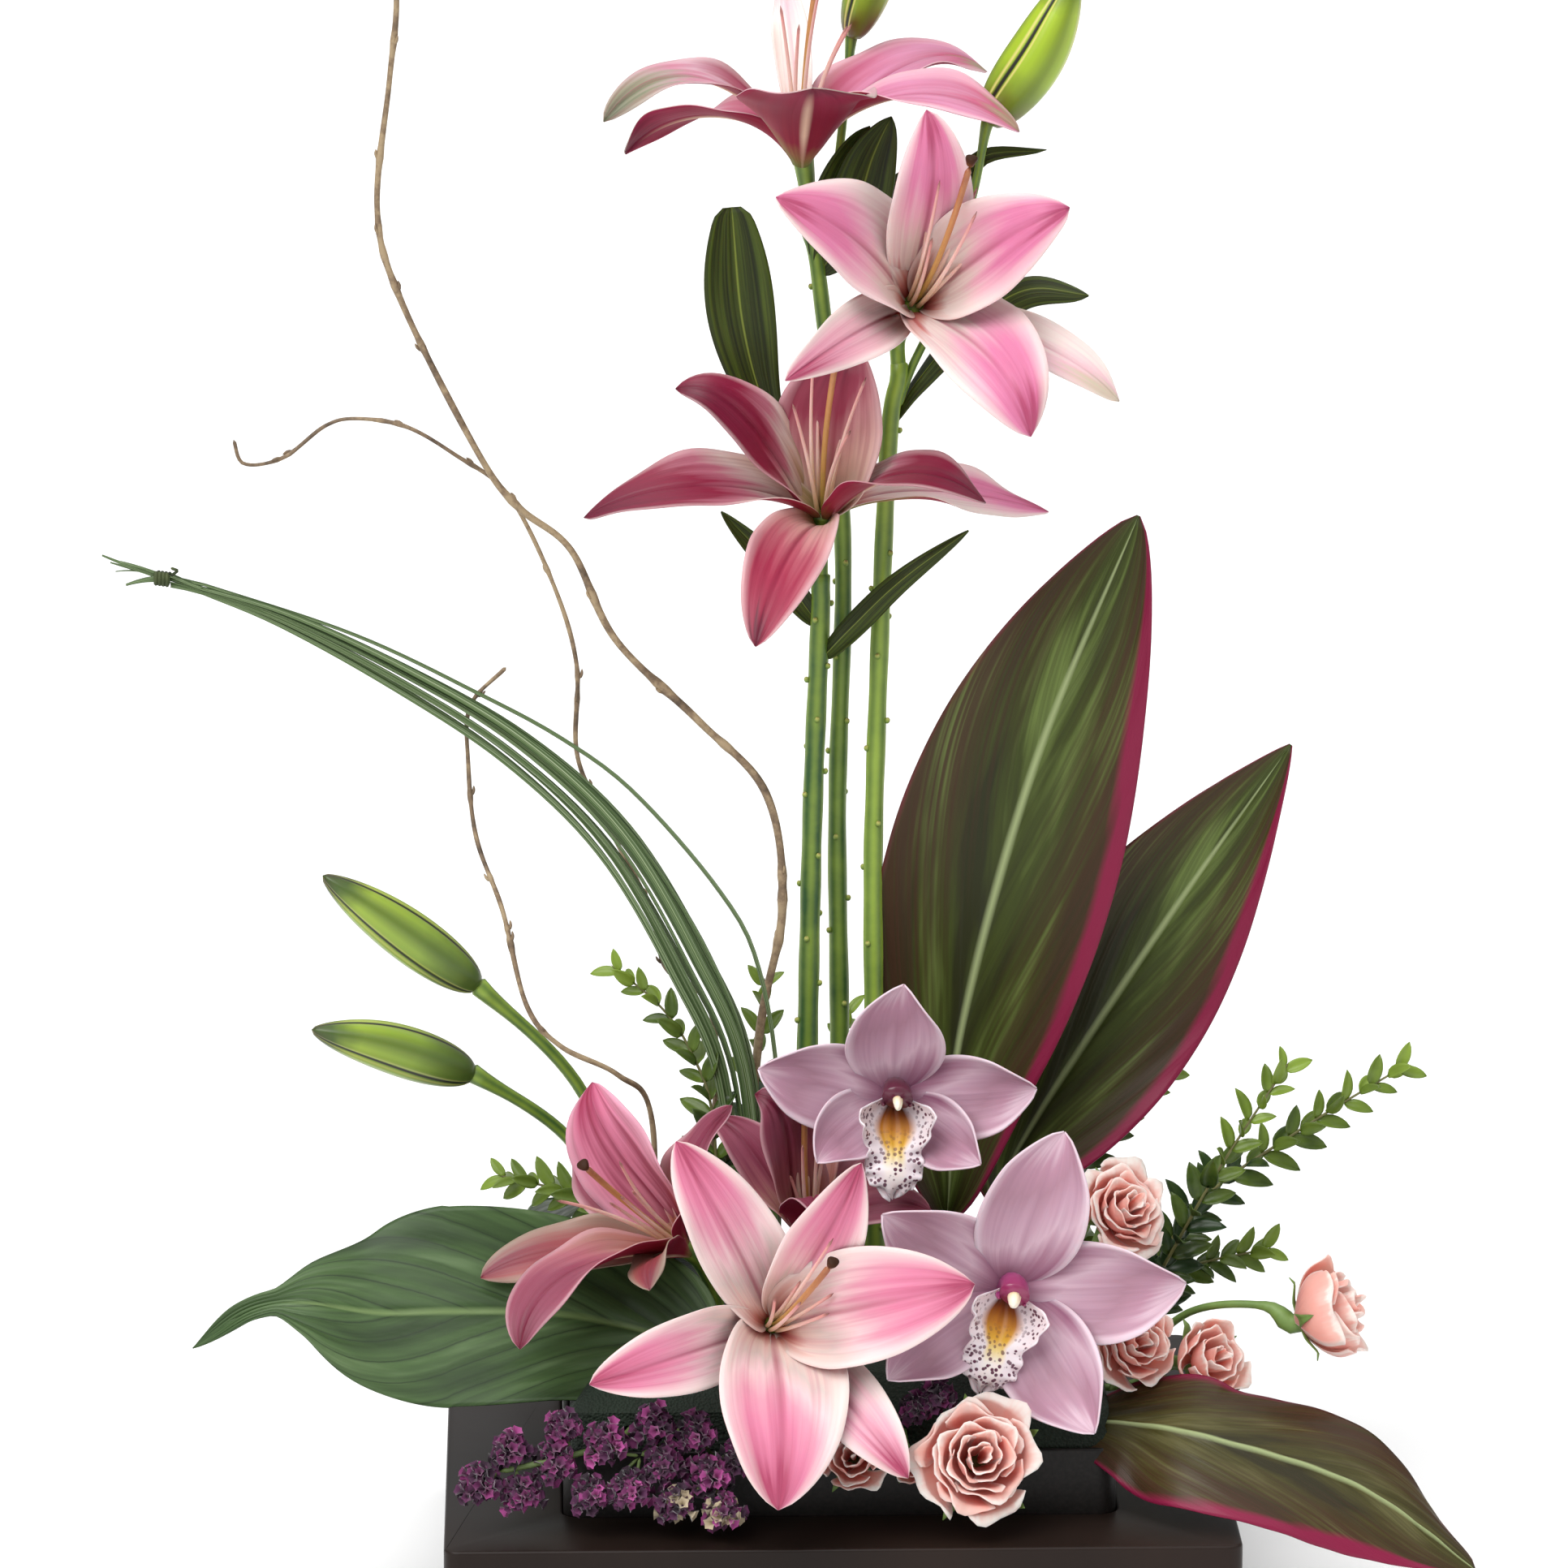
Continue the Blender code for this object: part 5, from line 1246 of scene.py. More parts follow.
def rose_petal(centre, axes, size, turn, place_out, opened, phase, skins, tone):
    """One petal: narrow at its foot, cupped round the heart and, further out, rolled back at its lip."""
    x_axis, y_axis, z_axis = axes
    spread = 1.55 - 0.6 * place_out

    def place(s, v):
        h = v * (1 - 0.12 * np.abs(s) ** 5) + 0.03 * v**3 * np.sin(6 * s + phase)
        angle = turn + s * spread * (0.3 + 0.7 * np.sin(0.5 * np.pi * np.clip(h * 1.7, 0, 1)))
        swell = np.sin(0.5 * np.pi * np.clip(h * 1.35, 0, 1)) ** 0.75
        inner = (1 - place_out) ** 1.2
        out = size * (0.1 + 0.76 * place_out) * swell * (1 - 0.45 * inner * np.clip(h - 0.5, 0, 1) ** 1.5)
        roll = rise(h, 0.66, 0.34) ** 2 * (0.25 + 0.75 * place_out) * opened
        ruffle = np.sin(4 * s + phase) + 0.7 * np.sin(9 * s + 2 * phase)
        out = out + size * (0.2 * roll + 0.06 * ruffle * h**5 * (0.35 + place_out))
        out = out * (1 + 0.1 * s)
        tall = size * (1.22 - (0.28 + 0.32 * opened) * place_out)
        z = -0.55 * size + tall * h - size * 0.24 * roll + 0.05 * size * h**4 * np.sin(4 * s + 3 * phase)
        x, y = np.cos(angle) * out, np.sin(angle) * out
        return centre + (np.outer(x, x_axis) + np.outer(y, y_axis) + np.outer(z, z_axis)) * CM

    return thick(paint(grid(16, 14, place, tone), *skins), 0.45, back=1)


FIFTH = 1.257  # radians from one sepal to the next


def sepals_of(centre, axes, size, skin):
    """Five narrow green sepals folded back under a rose."""
    x_axis, y_axis, z_axis = axes
    foot = centre - z_axis * size * 0.58 * CM
    made = []
    for k in range(5):
        turn = k * FIFTH + 0.4
        spoke = x_axis * math.cos(turn) + y_axis * math.sin(turn)
        steps = ((0.05, 0.0), (0.5, 0.05), (0.85, 0.2), (1.02, 0.12 if k % 2 else 0.5))
        route = np.array([foot + spoke * size * a * CM + z_axis * size * b * CM for a, b in steps])
        sheet = blade(
            route, np.cross(z_axis, spoke), lambda v: size * 0.17 * bell(v, 0.25, 0.9, 0.4) + 0.01, 4, 12,
            cup=0.5)
        made.append(thick(paint(sheet, skin), 0.4))
    return made


def rose_hip(centre, z_axis, size, route):
    """A rose's stalk and the hip that it swells into under the flower."""
    under = np.array(centre) - z_axis * size * 0.62
    knots = [*route, tuple(under), tuple(under + z_axis * size * 0.3)]
    return tube(
        through(knots, 40), lambda v: 0.15 + (0.17 * size - 0.15) * rise(v, 0.82, 0.1) ** 1.5, 12, 40)


class RoseSettings(bpy.types.PropertyGroup):
    """Colours of the roses."""

    # the heart colour is partly painted shade deep between the petals; the rim colour partly a painted
    # highlight
    heart: bpy.props.FloatVectorProperty(
        name="Heart", description="Colour deep between the petals", default=gamma("F8877A"), **COLOUR)
    rim: bpy.props.FloatVectorProperty(
        name="Rim", description="Colour of the petals' rims", default=gamma("F4BEB4"), **COLOUR)


class FLOWERS_OT_roses(bpy.types.Operator):
    """Seven spray roses with spiralled petals and green sepals"""

    bl_idname = "flowers.roses"
    bl_label = "Spray roses"

    def execute(self, context):
        settings = context.scene.flowers_rose
        skins = rose_materials(as_hex(settings.heart), as_hex(settings.rim))
        # Rose sepal: thin, dull green, a little paler in patches
        green = plant_skin("Rose sepal", "7E9A4C", "42602C", 80.0, roughness=0.5)
        for number, (name, (centre, facing, size, opened, *route)) in enumerate(ROSES.items()):
            rng = random.Random(40 + number)
            z_axis = unit(np.array(facing))
            x_axis = unit(np.cross([0.0, 0.0, 1.0], z_axis))
            axes = (x_axis, np.cross(z_axis, x_axis), z_axis)
            heart = np.array(centre) * CM
            count = round(6 + 5 * size * (0.3 + 0.9 * opened))
            made = []
            for k in range(count):
                place_out = (k / (count - 1)) ** 0.8
                turn = k * GOLDEN_TURN + rng.uniform(-0.2, 0.2)
                phase = rng.uniform(0, 6)
                tone = 0.5 + rng.uniform(-0.3, 0.3) - 0.4 * (1 - place_out)
                made.append(rose_petal(heart, axes, size, turn, place_out, opened, phase, skins, tone))
            made += sepals_of(heart, axes, size * (0.75 if opened < 0.2 else 1.0), green)
            made.append(paint(rose_hip(centre, z_axis, size, route), green))
            dress(join(name.replace("rose", "spray_rose"), made), name)
        return {"FINISHED"}


# ---- statice

# Each spray: node, stalk, heads (x, y, z, radius)
STATICE = {
    "statice_far": (
        ((-7.6, -7.6, 9.4), (-8.2, -10.9, 9.3), (-10.2, -12.2, 8.9), (-13.0, -12.6, 8.4)),
        (
            (-13.6, -12.6, 7.8, 0.85), (-12.4, -12.4, 9.1, 0.8), (-12.0, -12.8, 7.5, 0.7),
            (-10.7, -12.3, 8.5, 0.95), (-10.4, -12.0, 9.9, 0.6))),
    "statice_middle": (
        ((-5.9, -7.8, 9.4), (-6.3, -10.9, 9.2), (-7.6, -12.3, 8.9)),
        (
            (-7.0, -12.0, 9.9, 0.85), (-8.8, -12.4, 9.3, 0.9), (-9.4, -13.0, 7.5, 0.75),
            (-7.9, -13.2, 7.7, 0.85), (-6.7, -12.6, 8.5, 0.9))),
    "statice_near": (
        ((-3.9, -8.0, 9.4), (-4.1, -10.9, 9.0), (-4.9, -12.2, 8.2)),
        (
            (-5.4, -12.0, 9.6, 0.8), (-6.2, -13.4, 7.2, 0.75), (-5.0, -12.8, 8.1, 0.9),
            (-3.8, -12.4, 8.8, 0.7), (-4.4, -13.7, 7.0, 0.8))),
    "statice_right": (
        ((3.7, -7.9, 9.7), (3.7, -10.7, 10.2)), ((3.7, -11.4, 10.8, 0.65), (2.9, -11.2, 10.3, 0.5))),
}


CLUSTER = 15  # florets in a cluster


def floret(skin):
    """One papery calyx: a ruffled funnel of a few dozen faces, in metres, opening along +Z."""

    def place(s, v):
        angle = s * math.pi
        reach = 0.06 + 0.24 * v**1.4 + 0.05 * v * np.cos(5 * angle)
        height = 0.46 * v**0.8 + 0.05 * v * np.sin(5 * angle)
        return np.stack([np.cos(angle) * reach, np.sin(angle) * reach, height], axis=1) * CM

    return paint(grid(10, 2, place), skin)


def copied(obj, at, heading, size, tone, turn=0.0, face=None):
    """A copy with its own mesh, with its +Z along heading and, where face is given, its -Y towards that."""
    twin = obj.copy()
    twin.data = obj.data.copy()
    bpy.context.collection.objects.link(twin)
    ahead = Vector(heading).normalized()
    if face is None:
        facing = ahead.to_track_quat("Z", "Y").to_matrix()
    else:
        front = Vector(face)
        front = (front - ahead * front.dot(ahead)).normalized()
        facing = Matrix((ahead.cross(front), -front, ahead)).transposed()
    twin.data.transform(facing.to_4x4() @ Matrix.Rotation(turn, 4, "Z") @ Matrix.Scale(size, 4))
    twin.data.transform(Matrix.Translation(Vector(at)))
    twin.data.attributes["tone"].data.foreach_set(
        "value", np.full(len(twin.data.vertices), tone, np.float32))
    return twin


def on_ball(turn, height, forward=0.0):
    """A point of the unit sphere at a height, moved forward."""
    flat = math.sqrt(max(0.0, 1 - height * height))
    return Vector((flat * math.cos(turn), flat * math.sin(turn) - forward, height))


def statice_head(head, model, rng):
    """A head of five crowded clusters. Low in the near spray some florets are spent, and pale."""
    x, y, z, radius = head
    made = []
    for cluster in range(5):
        spin = cluster * GOLDEN_TURN + rng.uniform(-0.4, 0.4)
        middle = Vector(np.array((x, y, z)) * CM) + on_ball(spin, 1 - 0.4 * cluster) * radius * CM * 0.55
        bright = rng.uniform(-0.25, 0.25)
        for k in range(CLUSTER):
            turn = k * GOLDEN_TURN + rng.uniform(-0.4, 0.4)
            heading = on_ball(turn, 1 - 1.6 * (k + 0.5) / CLUSTER, 0.35).normalized()
            at = middle + heading * radius * CM * rng.uniform(0.15, 0.42)
            spent = z < 7.3 and x > -7 and rng.random() < 0.35
            size = rng.uniform(0.5, 0.8)
            tone = 1.0 if spent else min(0.93, max(0.0, bright + rng.uniform(0.1, 0.8)))
            made.append(copied(model, at, heading, size, tone, rng.uniform(0, 6)))
    return made


class FLOWERS_OT_statice(bpy.types.Operator):
    """Sprays of statice: papery purple florets crowded in small heads"""

    bl_idname = "flowers.statice"
    bl_label = "Statice"

    def execute(self, context):
        # Statice stem: dry and dull, grey-green
        stem = plant_skin("Statice stem", "7C8F4E", "3F5530", 70.0, roughness=0.55)
        model = floret(floret_material())
        for number, (name, (route, heads)) in enumerate(STATICE.items()):
            rng = random.Random(70 + number)
            path = through(route, 24)
            made = [paint(tube(path, 0.12, 8, 24), stem)]
            for head in heads:
                centre = np.array(head[:3]) * CM
                fork = path[8 + int(np.argmin(np.linalg.norm(path[8:] - centre, axis=1)))]
                branch = np.array([fork, (fork + centre) / 2 - [0, 0, 0.001], centre])
                made.append(paint(tube(branch, 0.07, 6, 8), stem))
                made += statice_head(head, model, rng)
            dress(join(name.replace("statice", "statice_spray"), made), name)
        bpy.data.objects.remove(model)
        return {"FINISHED"}


# ---- broad leaves

# Each leaf: node, half width, way across, length of stalk that carries no blade, spine
LEAVES = {
    "ti_leaf_tall": (
        4.4, (1, -0.15, -0.2), 9.0, (4.6, 5.2, 5.4), (4.6, 5.2, 11.6), (4.7, 3.2, 15.2), (5.1, 2.6, 21.7),
        (7.9, 2.2, 32.4), (11.9, 3.0, 42.0)),
    "ti_leaf_mid": (
        3.7, (0.8, -0.2, -0.6), 9.0, (6.6, 1.4, 5.4), (6.6, 1.4, 11.6), (6.9, 3.6, 15.0), (8.0, 4.0, 17.6),
        (13.3, 3.8, 26.0), (17.9, 3.2, 32.9)),
    "ti_leaf_low": (
        3.1, (0.1, 0.8, 0.6), 1.6, (7.2, -9.2, 9.3), (10.9, -9.8, 9.3), (14.0, -11.6, 9.2),
        (19.5, -12.0, 7.4), (24.0, -12.0, 4.1)),
    "ti_leaf_back": (
        3.8, (0.7, -0.5, 0.1), 8.0, (4.6, 8.0, 5.4), (4.6, 8.0, 12.0), (5.6, 10.4, 15.4), (8.6, 14.0, 17.2),
        (12.2, 16.8, 15.6)),
    "broad_leaf_left": (
        4.1, (0.0, 0.6, 0.8), 0.0, (-4.6, -7.4, 11.4), (-7.3, -6.7, 12.2), (-10.4, -6.4, 12.8),
        (-14.0, -6.5, 13.0), (-17.6, -6.6, 13.0), (-20.2, -6.6, 13.4), (-22.3, -6.5, 13.1),
        (-24.6, -6.4, 11.6)),
    "broad_leaf_back": (
        3.6, (0.6, 0.7, 0.1), 8.0, (-3.0, 7.6, 5.4), (-3.0, 7.6, 12.0), (-4.6, 9.4, 13.4),
        (-8.4, 12.0, 12.8), (-12.6, 15.2, 9.4)),
    "broad_leaf_back_low": (
        3.2, (1, 0.1, 0.2), 4.4, (-1.0, 7.2, 9.4), (-1.0, 10.9, 9.4), (-1.0, 14.2, 9.8), (-0.6, 18.0, 8.2),
        (-0.4, 21.0, 5.0)),
}

# The left leaf's blade has no stalk. This round one meets it from below.
LEFT_STALK = ((-7.0, -6.2, 6.0), (-7.1, -6.3, 10.6), (-7.9, -6.4, 12.0), (-9.4, -6.3, 12.4))
VEIN_TURN = 24  # radians of the wave that sets a plain leaf's main veins, over its length


class LeafSettings(bpy.types.PropertyGroup):
    """Colours and waviness of the broad leaves."""

    ti_green: bpy.props.FloatVectorProperty(
        name="Ti leaf", description="Olive ground of the ti leaves", default=gamma("3C4618"), **COLOUR)
    ti_edge: bpy.props.FloatVectorProperty(
        name="Ti margin", description="Colour of the ti leaves' margin", default=gamma("7E1A3C"), **COLOUR)
    plain_green: bpy.props.FloatVectorProperty(
        name="Plain leaf", description="Green of the plain broad leaves", default=gamma("445C34"), **COLOUR)
    wave: bpy.props.FloatProperty(
        name="Waviness", description="How far the margins wave, against their usual wave", default=1.0,
        min=0.0, max=2.0, subtype="FACTOR")


def ti_skin(name, ground, light, edge, lopsided):
    """Ti leaf: leathery, olive to bronze, with a crimson margin, fine veins that slant forward and pale
    patches of painted sheen.
    """
    # painted sheen: the pale patches that the light colour gives
    stops = (
        (0.34, ground, "14100A"), (0.45, ground, "1E1C10", 0.2), (0.53, ground), (0.68, ground, light, 0.6))
    return striped(
        name, stops, between(ground, "14120A"), 0.3, 60.0, "A3B07E", edge=edge, lopsided=lopsided,
        slant=0.55, flush="40281A", depth=0.0004, roughness=0.42, specular_ior_level=0.2, coat_weight=0.08,
        coat_roughness=0.3)


def ti_outline(grown, ending):
    """A ti leaf's outline. One exponent keeps its ends blunt, the other moves where it is fullest."""
    blunt, fullest = {"low": (0.6, 0.85), "tall": (0.75, 1.0)}.get(ending, (0.9, 0.85))
    return np.sin(np.pi * grown**fullest) ** blunt


def plain_outline(grown):
    """A plain leaf's outline: full from its foot to its middle, then drawn out into a drip tip."""
    drip = 0.17 * np.clip((1 - grown) / 0.22, 0, 1) ** 0.8
    body = (1 - (1 - grown) ** 6) ** 0.5 * (1 - rise(grown, 0.48, 0.35) ** 2.2)
    return np.hypot(body, drip * (grown > 0.5))


def broad_blade(name, wave, half, margin, bare, *route):
    """A broad leaf with its channelled stalk: midrib and side veins are sunken and its margins wave."""
    broad = name.startswith("broad")
    spine = through(route, 90)
    free = bare / (np.linalg.norm(np.diff(spine, axis=0), axis=1).sum() / CM)

    def width(v):
        grown = rise(v, free, 1 - free)
        full = half * (plain_outline(grown) if broad else ti_outline(grown, name.split("_")[-1]))
        return full + (0.28 * (1 - 0.8 * v) if free else 0) + 0.01

    def relief(s, v):
        shown = rise(v, free, 0.1) * np.clip((1 - v) / 0.1, 0, 1)
        if broad:
            ribs = 0.1 * np.abs(np.cos((v - 0.5 * np.abs(s)) * VEIN_TURN)) ** 0.6 * (1 - np.abs(s) ** 4)
        else:
            ribs = 0.02 * np.cos(np.abs(s) * 26 - v * 60)
        margins = 0.3 * np.abs(s) ** 2.5 * np.sin(v * 13 + 2 * np.sign(s)) + 0.12 * s * np.sin(v * 7)
        return (-0.12 * hump(s, 0.035) + ribs + wave * margins) * shown

    def cup(v):
        return np.where(v < free, 1.2, 0.32 + 0.7 * np.clip((free + 0.12 - v) / 0.12, 0, 1))

    return blade(spine, margin, width, 40, 84, cup=cup if free else 0.3, relief=relief)


class FLOWERS_OT_broad_leaves(bpy.types.Operator):
    """Broad leaves: red-edged ti leaves and plain dark ones, each on its channelled stalk"""

    bl_idname = "flowers.broad_leaves"
    bl_label = "Broad leaves"

    def execute(self, context):
        settings = context.scene.flowers_leaf
        green, edge, dark = (
            as_hex(one) for one in (settings.ti_green, settings.ti_edge, settings.plain_green))
        ti = ti_skin("Ti leaf", green, "7E9450", edge, 0.13)
        # The low leaf is an older one, browner, and its crimson is on the other side
        older = ti_skin("Ti leaf, older", between(green, "46381C", 0.6), "6C6846", edge, -0.12)
        # Plain leaf: waxy, with pale grey-green patches of painted sheen, and sunken veins, drawn dark with
        # painted shade, that run in arcs from foot to tip
        plain = striped(
            "Broad leaf", ((0.3, dark, "101A0C", 0.4), (0.55, dark), (0.8, dark, "8EA07C", 0.45)),
            between(dark, "0C140A", 0.6), 0.35, 30.0, "6E8450", slant=0.5, arcs=VEIN_TURN, roughness=0.42,
            specular_ior_level=0.22, coat_weight=0.08, coat_roughness=0.35)
        for name, leaf in LEAVES.items():
            broad = name.startswith("broad")
            skin = plain if broad else older if name.endswith("low") else ti
            made = [thick(paint(broad_blade(name, settings.wave, *leaf), skin), 0.55)]
            if name == "broad_leaf_left":
                made.append(paint(tube(through(LEFT_STALK, 30), lambda v: 0.3 - 0.14 * v, 9, 30), plain))
            dress(
                join(name.replace("leaf", "leaf_blade"), made), name)
        return {"FINISHED"}


# ---- grass, willow and myrtle

# Routes of the sheaf and of the blade furthest from it, up to the tie
GRASS_MAIN = (
    (-3.1, 0.2, 6.0), (-3.1, 0.2, 12.0), (-3.6, 0.0, 20.5), (-5.5, 0.0, 25.3), (-8.3, 0.0, 30.1),
    (-12.0, 0.0, 33.7), (-16.4, 0.0, 36.5), (-21.0, 0.0, 38.8), (-24.9, 0.0, 40.1))
GRASS_OUTER = (
    (-2.1, -0.2, 6.0), (-2.1, -0.2, 12.0), (-2.1, -0.2, 20.0), (-2.9, -0.1, 25.1), (-4.4, 0.0, 28.0),
    (-7.6, 0.0, 31.8), (-10.3, 0.0, 33.9), (-13.5, 0.0, 35.7), (-18.4, 0.0, 38.1), (-24.8, 0.0, 40.3))


class GrassSettings(bpy.types.PropertyGroup):
    """Spread and width of the grass blades."""

    spread: bpy.props.FloatProperty(
        name="Spread", description="How far the blades stand apart, against their usual spread",
        default=1.0, min=0.3, max=1.5, subtype="FACTOR")
    width: bpy.props.FloatProperty(
        name="Blade width", description="Width of the blades against their usual one", default=1.1, min=0.5,
        max=2.0, subtype="FACTOR")


# Each blade of the sheaf: how far it stands above the lowest, midway and at its foot, half width, how far
# forward, tone
STRANDS = (
    (0.0, 0.0, 0.13, 0.3, 0.35), (0.1, 0.15, 0.1, -0.2, 0.6), (0.2, 0.3, 0.15, 0.1, 0.2),
    (0.3, 0.2, 0.06, 0.4, 0.8), (0.44, 0.5, 0.07, -0.3, 1.0), (0.55, 0.55, 0.06, 0.2, 0.9),
    (0.7, 0.6, 0.14, 0.0, 0.25), (0.8, 0.7, 0.12, -0.1, 0.6), (0.9, 0.8, 0.18, 0.3, 0.05),
    (1.0, 0.9, 0.14, -0.3, 0.1),
)
# Each end beyond the tie: where its tip is from the knot, and its half width
GRASS_ENDS = (
    (-2.6, 0.0, 0.95, 0.13), (-2.3, 0.25, 0.62, 0.1), (-1.9, -0.2, 0.75, 0.08), (-1.7, -0.15, -0.18, 0.17),
    (-2.1, 0.1, 0.3, 0.06),
)
KNOT = np.array((-25.3, 0.0, 40.25)) * CM  # where the sheaf is tied


def into_knot(route, t, shift):
    """A blade's route, ended in the knot."""
    return np.vstack([route[t[:, 0] <= 0.985], (KNOT + np.array(shift))[None]])


def sheaf_blade(k, strand, main, settings):
    """One blade of the sheaf. It stands off from the main route and is gathered at both ends."""
    rise_to, foot, wide, near, tone = strand
    t = np.linspace(0, 1, 121)[:, None]
    middle = np.sin(np.pi * t)
    lift = rise_to - 0.7 + 0.1 * np.sin(5 * t + 2 * k)
    fan = np.array(((0.62, 0.0, 0.78),)) * 1.15 * CM * settings.spread * lift * middle**0.7
    fan = fan + np.array(((1.0, 0.0, 0.0),)) * 1.2 * CM * (foot - 0.5) * (1 - t) ** 1.5
    route = main + fan + np.array(((0.0, -0.006 * near, 0.0),)) * middle
    route = into_knot(route, t, [0.0, -0.002 * near, 0.0005 * (k - 5)])
    return blade(
        route, (0.5, 0.5 * near, 0.9),
        lambda v: settings.width * wide * (0.75 + 0.4 * np.sin(np.pi * v)) * (1 - 0.5 * v**3), 4, 70,
        cup=0.95, roll=lambda v: 0.4 * np.sin(3 * v + k), tone=tone)


def outer_blade(k, share, wide, main, outer, settings):
    """A blade that stands apart from the sheaf, some share of the way out."""
    t = np.linspace(0, 1, 121)[:, None]
    route = into_knot(main * (1 - share) + outer * share, t, [0.0, 0.001 * k, 0.001])
    return blade(
        route, (0.5, 0.2, 0.9), lambda v: settings.width * wide * (1 - 0.4 * v**2), 4, 70, cup=0.9,
        tone=0.3 + 0.3 * k)


def grass_end(k, dx, dy, dz, wide):
    """The end of a blade beyond the tie."""
    tip = KNOT + np.array([dx, dy, dz]) * CM
    bow = (KNOT + tip) / 2 + np.array([0.0, 0.0, 0.001 * (k - 1)])
    return blade(
        bowed(KNOT, bow, tip, 16), (0.2, 0.3, 0.9), lambda v: wide * (1 - 0.75 * v), 4, 16, cup=0.7,
        tone=0.2 * k)


def wraps():
    """Four turns of raffia round the sheaf, and the short end that sticks out of them."""
    made = []
    for k in range(4):
        wrap = KNOT + np.array([(-0.05 - 0.14 * k) * CM, 0.0, 0.0002 * k])
        turn = np.linspace(0, 2 * math.pi, 25)[:, None]
        ring = (np.cos(turn) * [0.12, 0, 1.0] * 0.22 + np.sin(turn) * [0, 1.0, 0] * 0.2) * CM
        made.append(tube(wrap + ring + turn * [-0.00018, 0, 0], 0.085, 7, 24))
    stub = np.array(
        [KNOT + [0.0, -0.002, 0.0015], KNOT + [0.003, -0.003, 0.004], KNOT + [0.0, -0.0025, 0.005]])
    return [*made, tube(stub, 0.06, 7, 10)]


class FLOWERS_OT_grass(bpy.types.Operator):
    """A sheaf of bear grass bowed over to the left and tied near its tips"""

    bl_idname = "flowers.grass"
    bl_label = "Bear grass"

    def execute(self, context):
        settings = context.scene.flowers_grass
        # Bear grass: tough, dry and ribbed, grey-green with paler blades
        skin = striped(
            "Bear grass", ((0.3, "2C3E20"), (0.46, "4E6638"), (0.6, "7E9068"), (0.72, "B4BEA4")), "34482A",
            0.4, 4.0, "B4C098", depth=0.0003, roughness=0.45, specular_ior_level=0.3)
        # Tie: dark green raffia, dull and fibrous
        tie = threadlike(
            "Raffia tie", ((0.0, "1C240F"), (0.5, "2E3A1A"), (1.0, "46502A")), 0.8, roughness=0.75)
        main, outer = through(GRASS_MAIN, 120), through(GRASS_OUTER, 120)
        sheaf = [sheaf_blade(k, strand, main, settings) for k, strand in enumerate(STRANDS)]
        apart = [
            outer_blade(k, *one, main, outer, settings) for k, one in enumerate(((1.0, 0.09), (0.3, 0.08)))]
        ends = [grass_end(k, *end) for k, end in enumerate(GRASS_ENDS)]
        sheaf, apart, ends = (
            [thick(paint(one, skin), 0.3) for one in group] for group in (sheaf, apart, ends))
        dress(join("grass_sheaf", sheaf), "bear_grass_bundle")
        dress(join("grass_outer_blades", apart), "bear_grass_outer")
        dress(join("grass_binding", [*ends, *(paint(one, tie) for one in wraps())]), "grass_tie")
        return {"FINISHED"}


# Each twig: node, radius at foot and tip, route
TWIGS = {
    "willow_main": (
        0.2, 0.1, (-3.6, 1.8, 6.0), (-3.5, 1.7, 12.0), (-2.8, 1.2, 21.8), (-1.9, 0.9, 27.0),
        (-2.5, 1.0, 31.5), (-5.1, 1.0, 34.4), (-8.3, 1.1, 37.6), (-10.0, 1.2, 41.1), (-12.0, 1.0, 42.8),
        (-13.5, 0.8, 44.9), (-16.4, 0.8, 50.8), (-17.3, 1.0, 54.3), (-16.8, 1.3, 59.2), (-16.5, 1.2, 62.3),
        (-16.7, 1.0, 66.0), (-17.6, 0.8, 69.0), (-17.4, 0.6, 71.4)),
    "willow_curl": (
        0.14, 0.07, (-5.0, 3.2, 6.0), (-4.9, 3.0, 12.0), (-4.5, 2.4, 21.9), (-6.4, 2.1, 24.5),
        (-7.0, 2.0, 26.8), (-8.7, 2.0, 30.3), (-9.8, 2.1, 32.9), (-9.8, 2.3, 36.4), (-10.7, 2.3, 39.6),
        (-12.4, 2.1, 43.1), (-14.4, 1.8, 44.7), (-16.3, 1.9, 45.8), (-18.2, 2.0, 46.1), (-19.4, 2.1, 45.8),
        (-21.0, 2.0, 44.6), (-22.5, 1.8, 44.4), (-22.9, 1.7, 45.4)),
    "willow_short": (
        0.14, 0.08, (-6.4, -0.6, 6.0), (-6.8, -0.7, 12.0), (-7.0, -1.0, 19.2), (-8.3, -1.8, 21.1),
        (-10.5, -2.0, 22.3), (-11.8, -1.9, 23.9), (-12.7, -0.9, 27.4), (-13.7, 0.4, 30.0),
        (-14.0, 1.2, 32.8), (-13.9, 1.3, 35.0), (-12.5, 1.4, 36.5)),
}


def twig(low, high, route, bark, rng):
    """A curly twig, swollen at its joints, with a resting bud pressed against it at each."""
    steps = 400
    spine = through(route, steps)
    joints = np.sort(np.array([rng.uniform(0.25, 0.98) for _ in range(int(len(route) * 0.9))]))

    def thickness(v):
        bump = sum(0.28 * hump(v - joint, 0.004) for joint in joints)
        return (low + (high - low) * v**0.8) * (1 + bump + 0.06 * np.sin(v * 90))

    made = [paint(tube(spine, thickness, 9, 300), bark)]
    sides = carried(spine)
    for joint in joints:
        k = int(joint * (steps - 2)) + 1
        spoke, ahead = spoke_at(sides, k, rng.uniform(0, 6)), ahead_at(spine, k)
        at = spine[k] + spoke * (low + (high - low) * joint) * 0.8 * CM
        bud = np.array([at, at + spoke * 0.0009 + ahead * 0.0022, at + spoke * 0.001 + ahead * 0.0042])
        made.append(paint(tube(bud, lambda v: 0.065 * half_sine(v * 0.85 + 0.15) ** 0.7, 6, 6), bark))
    return made


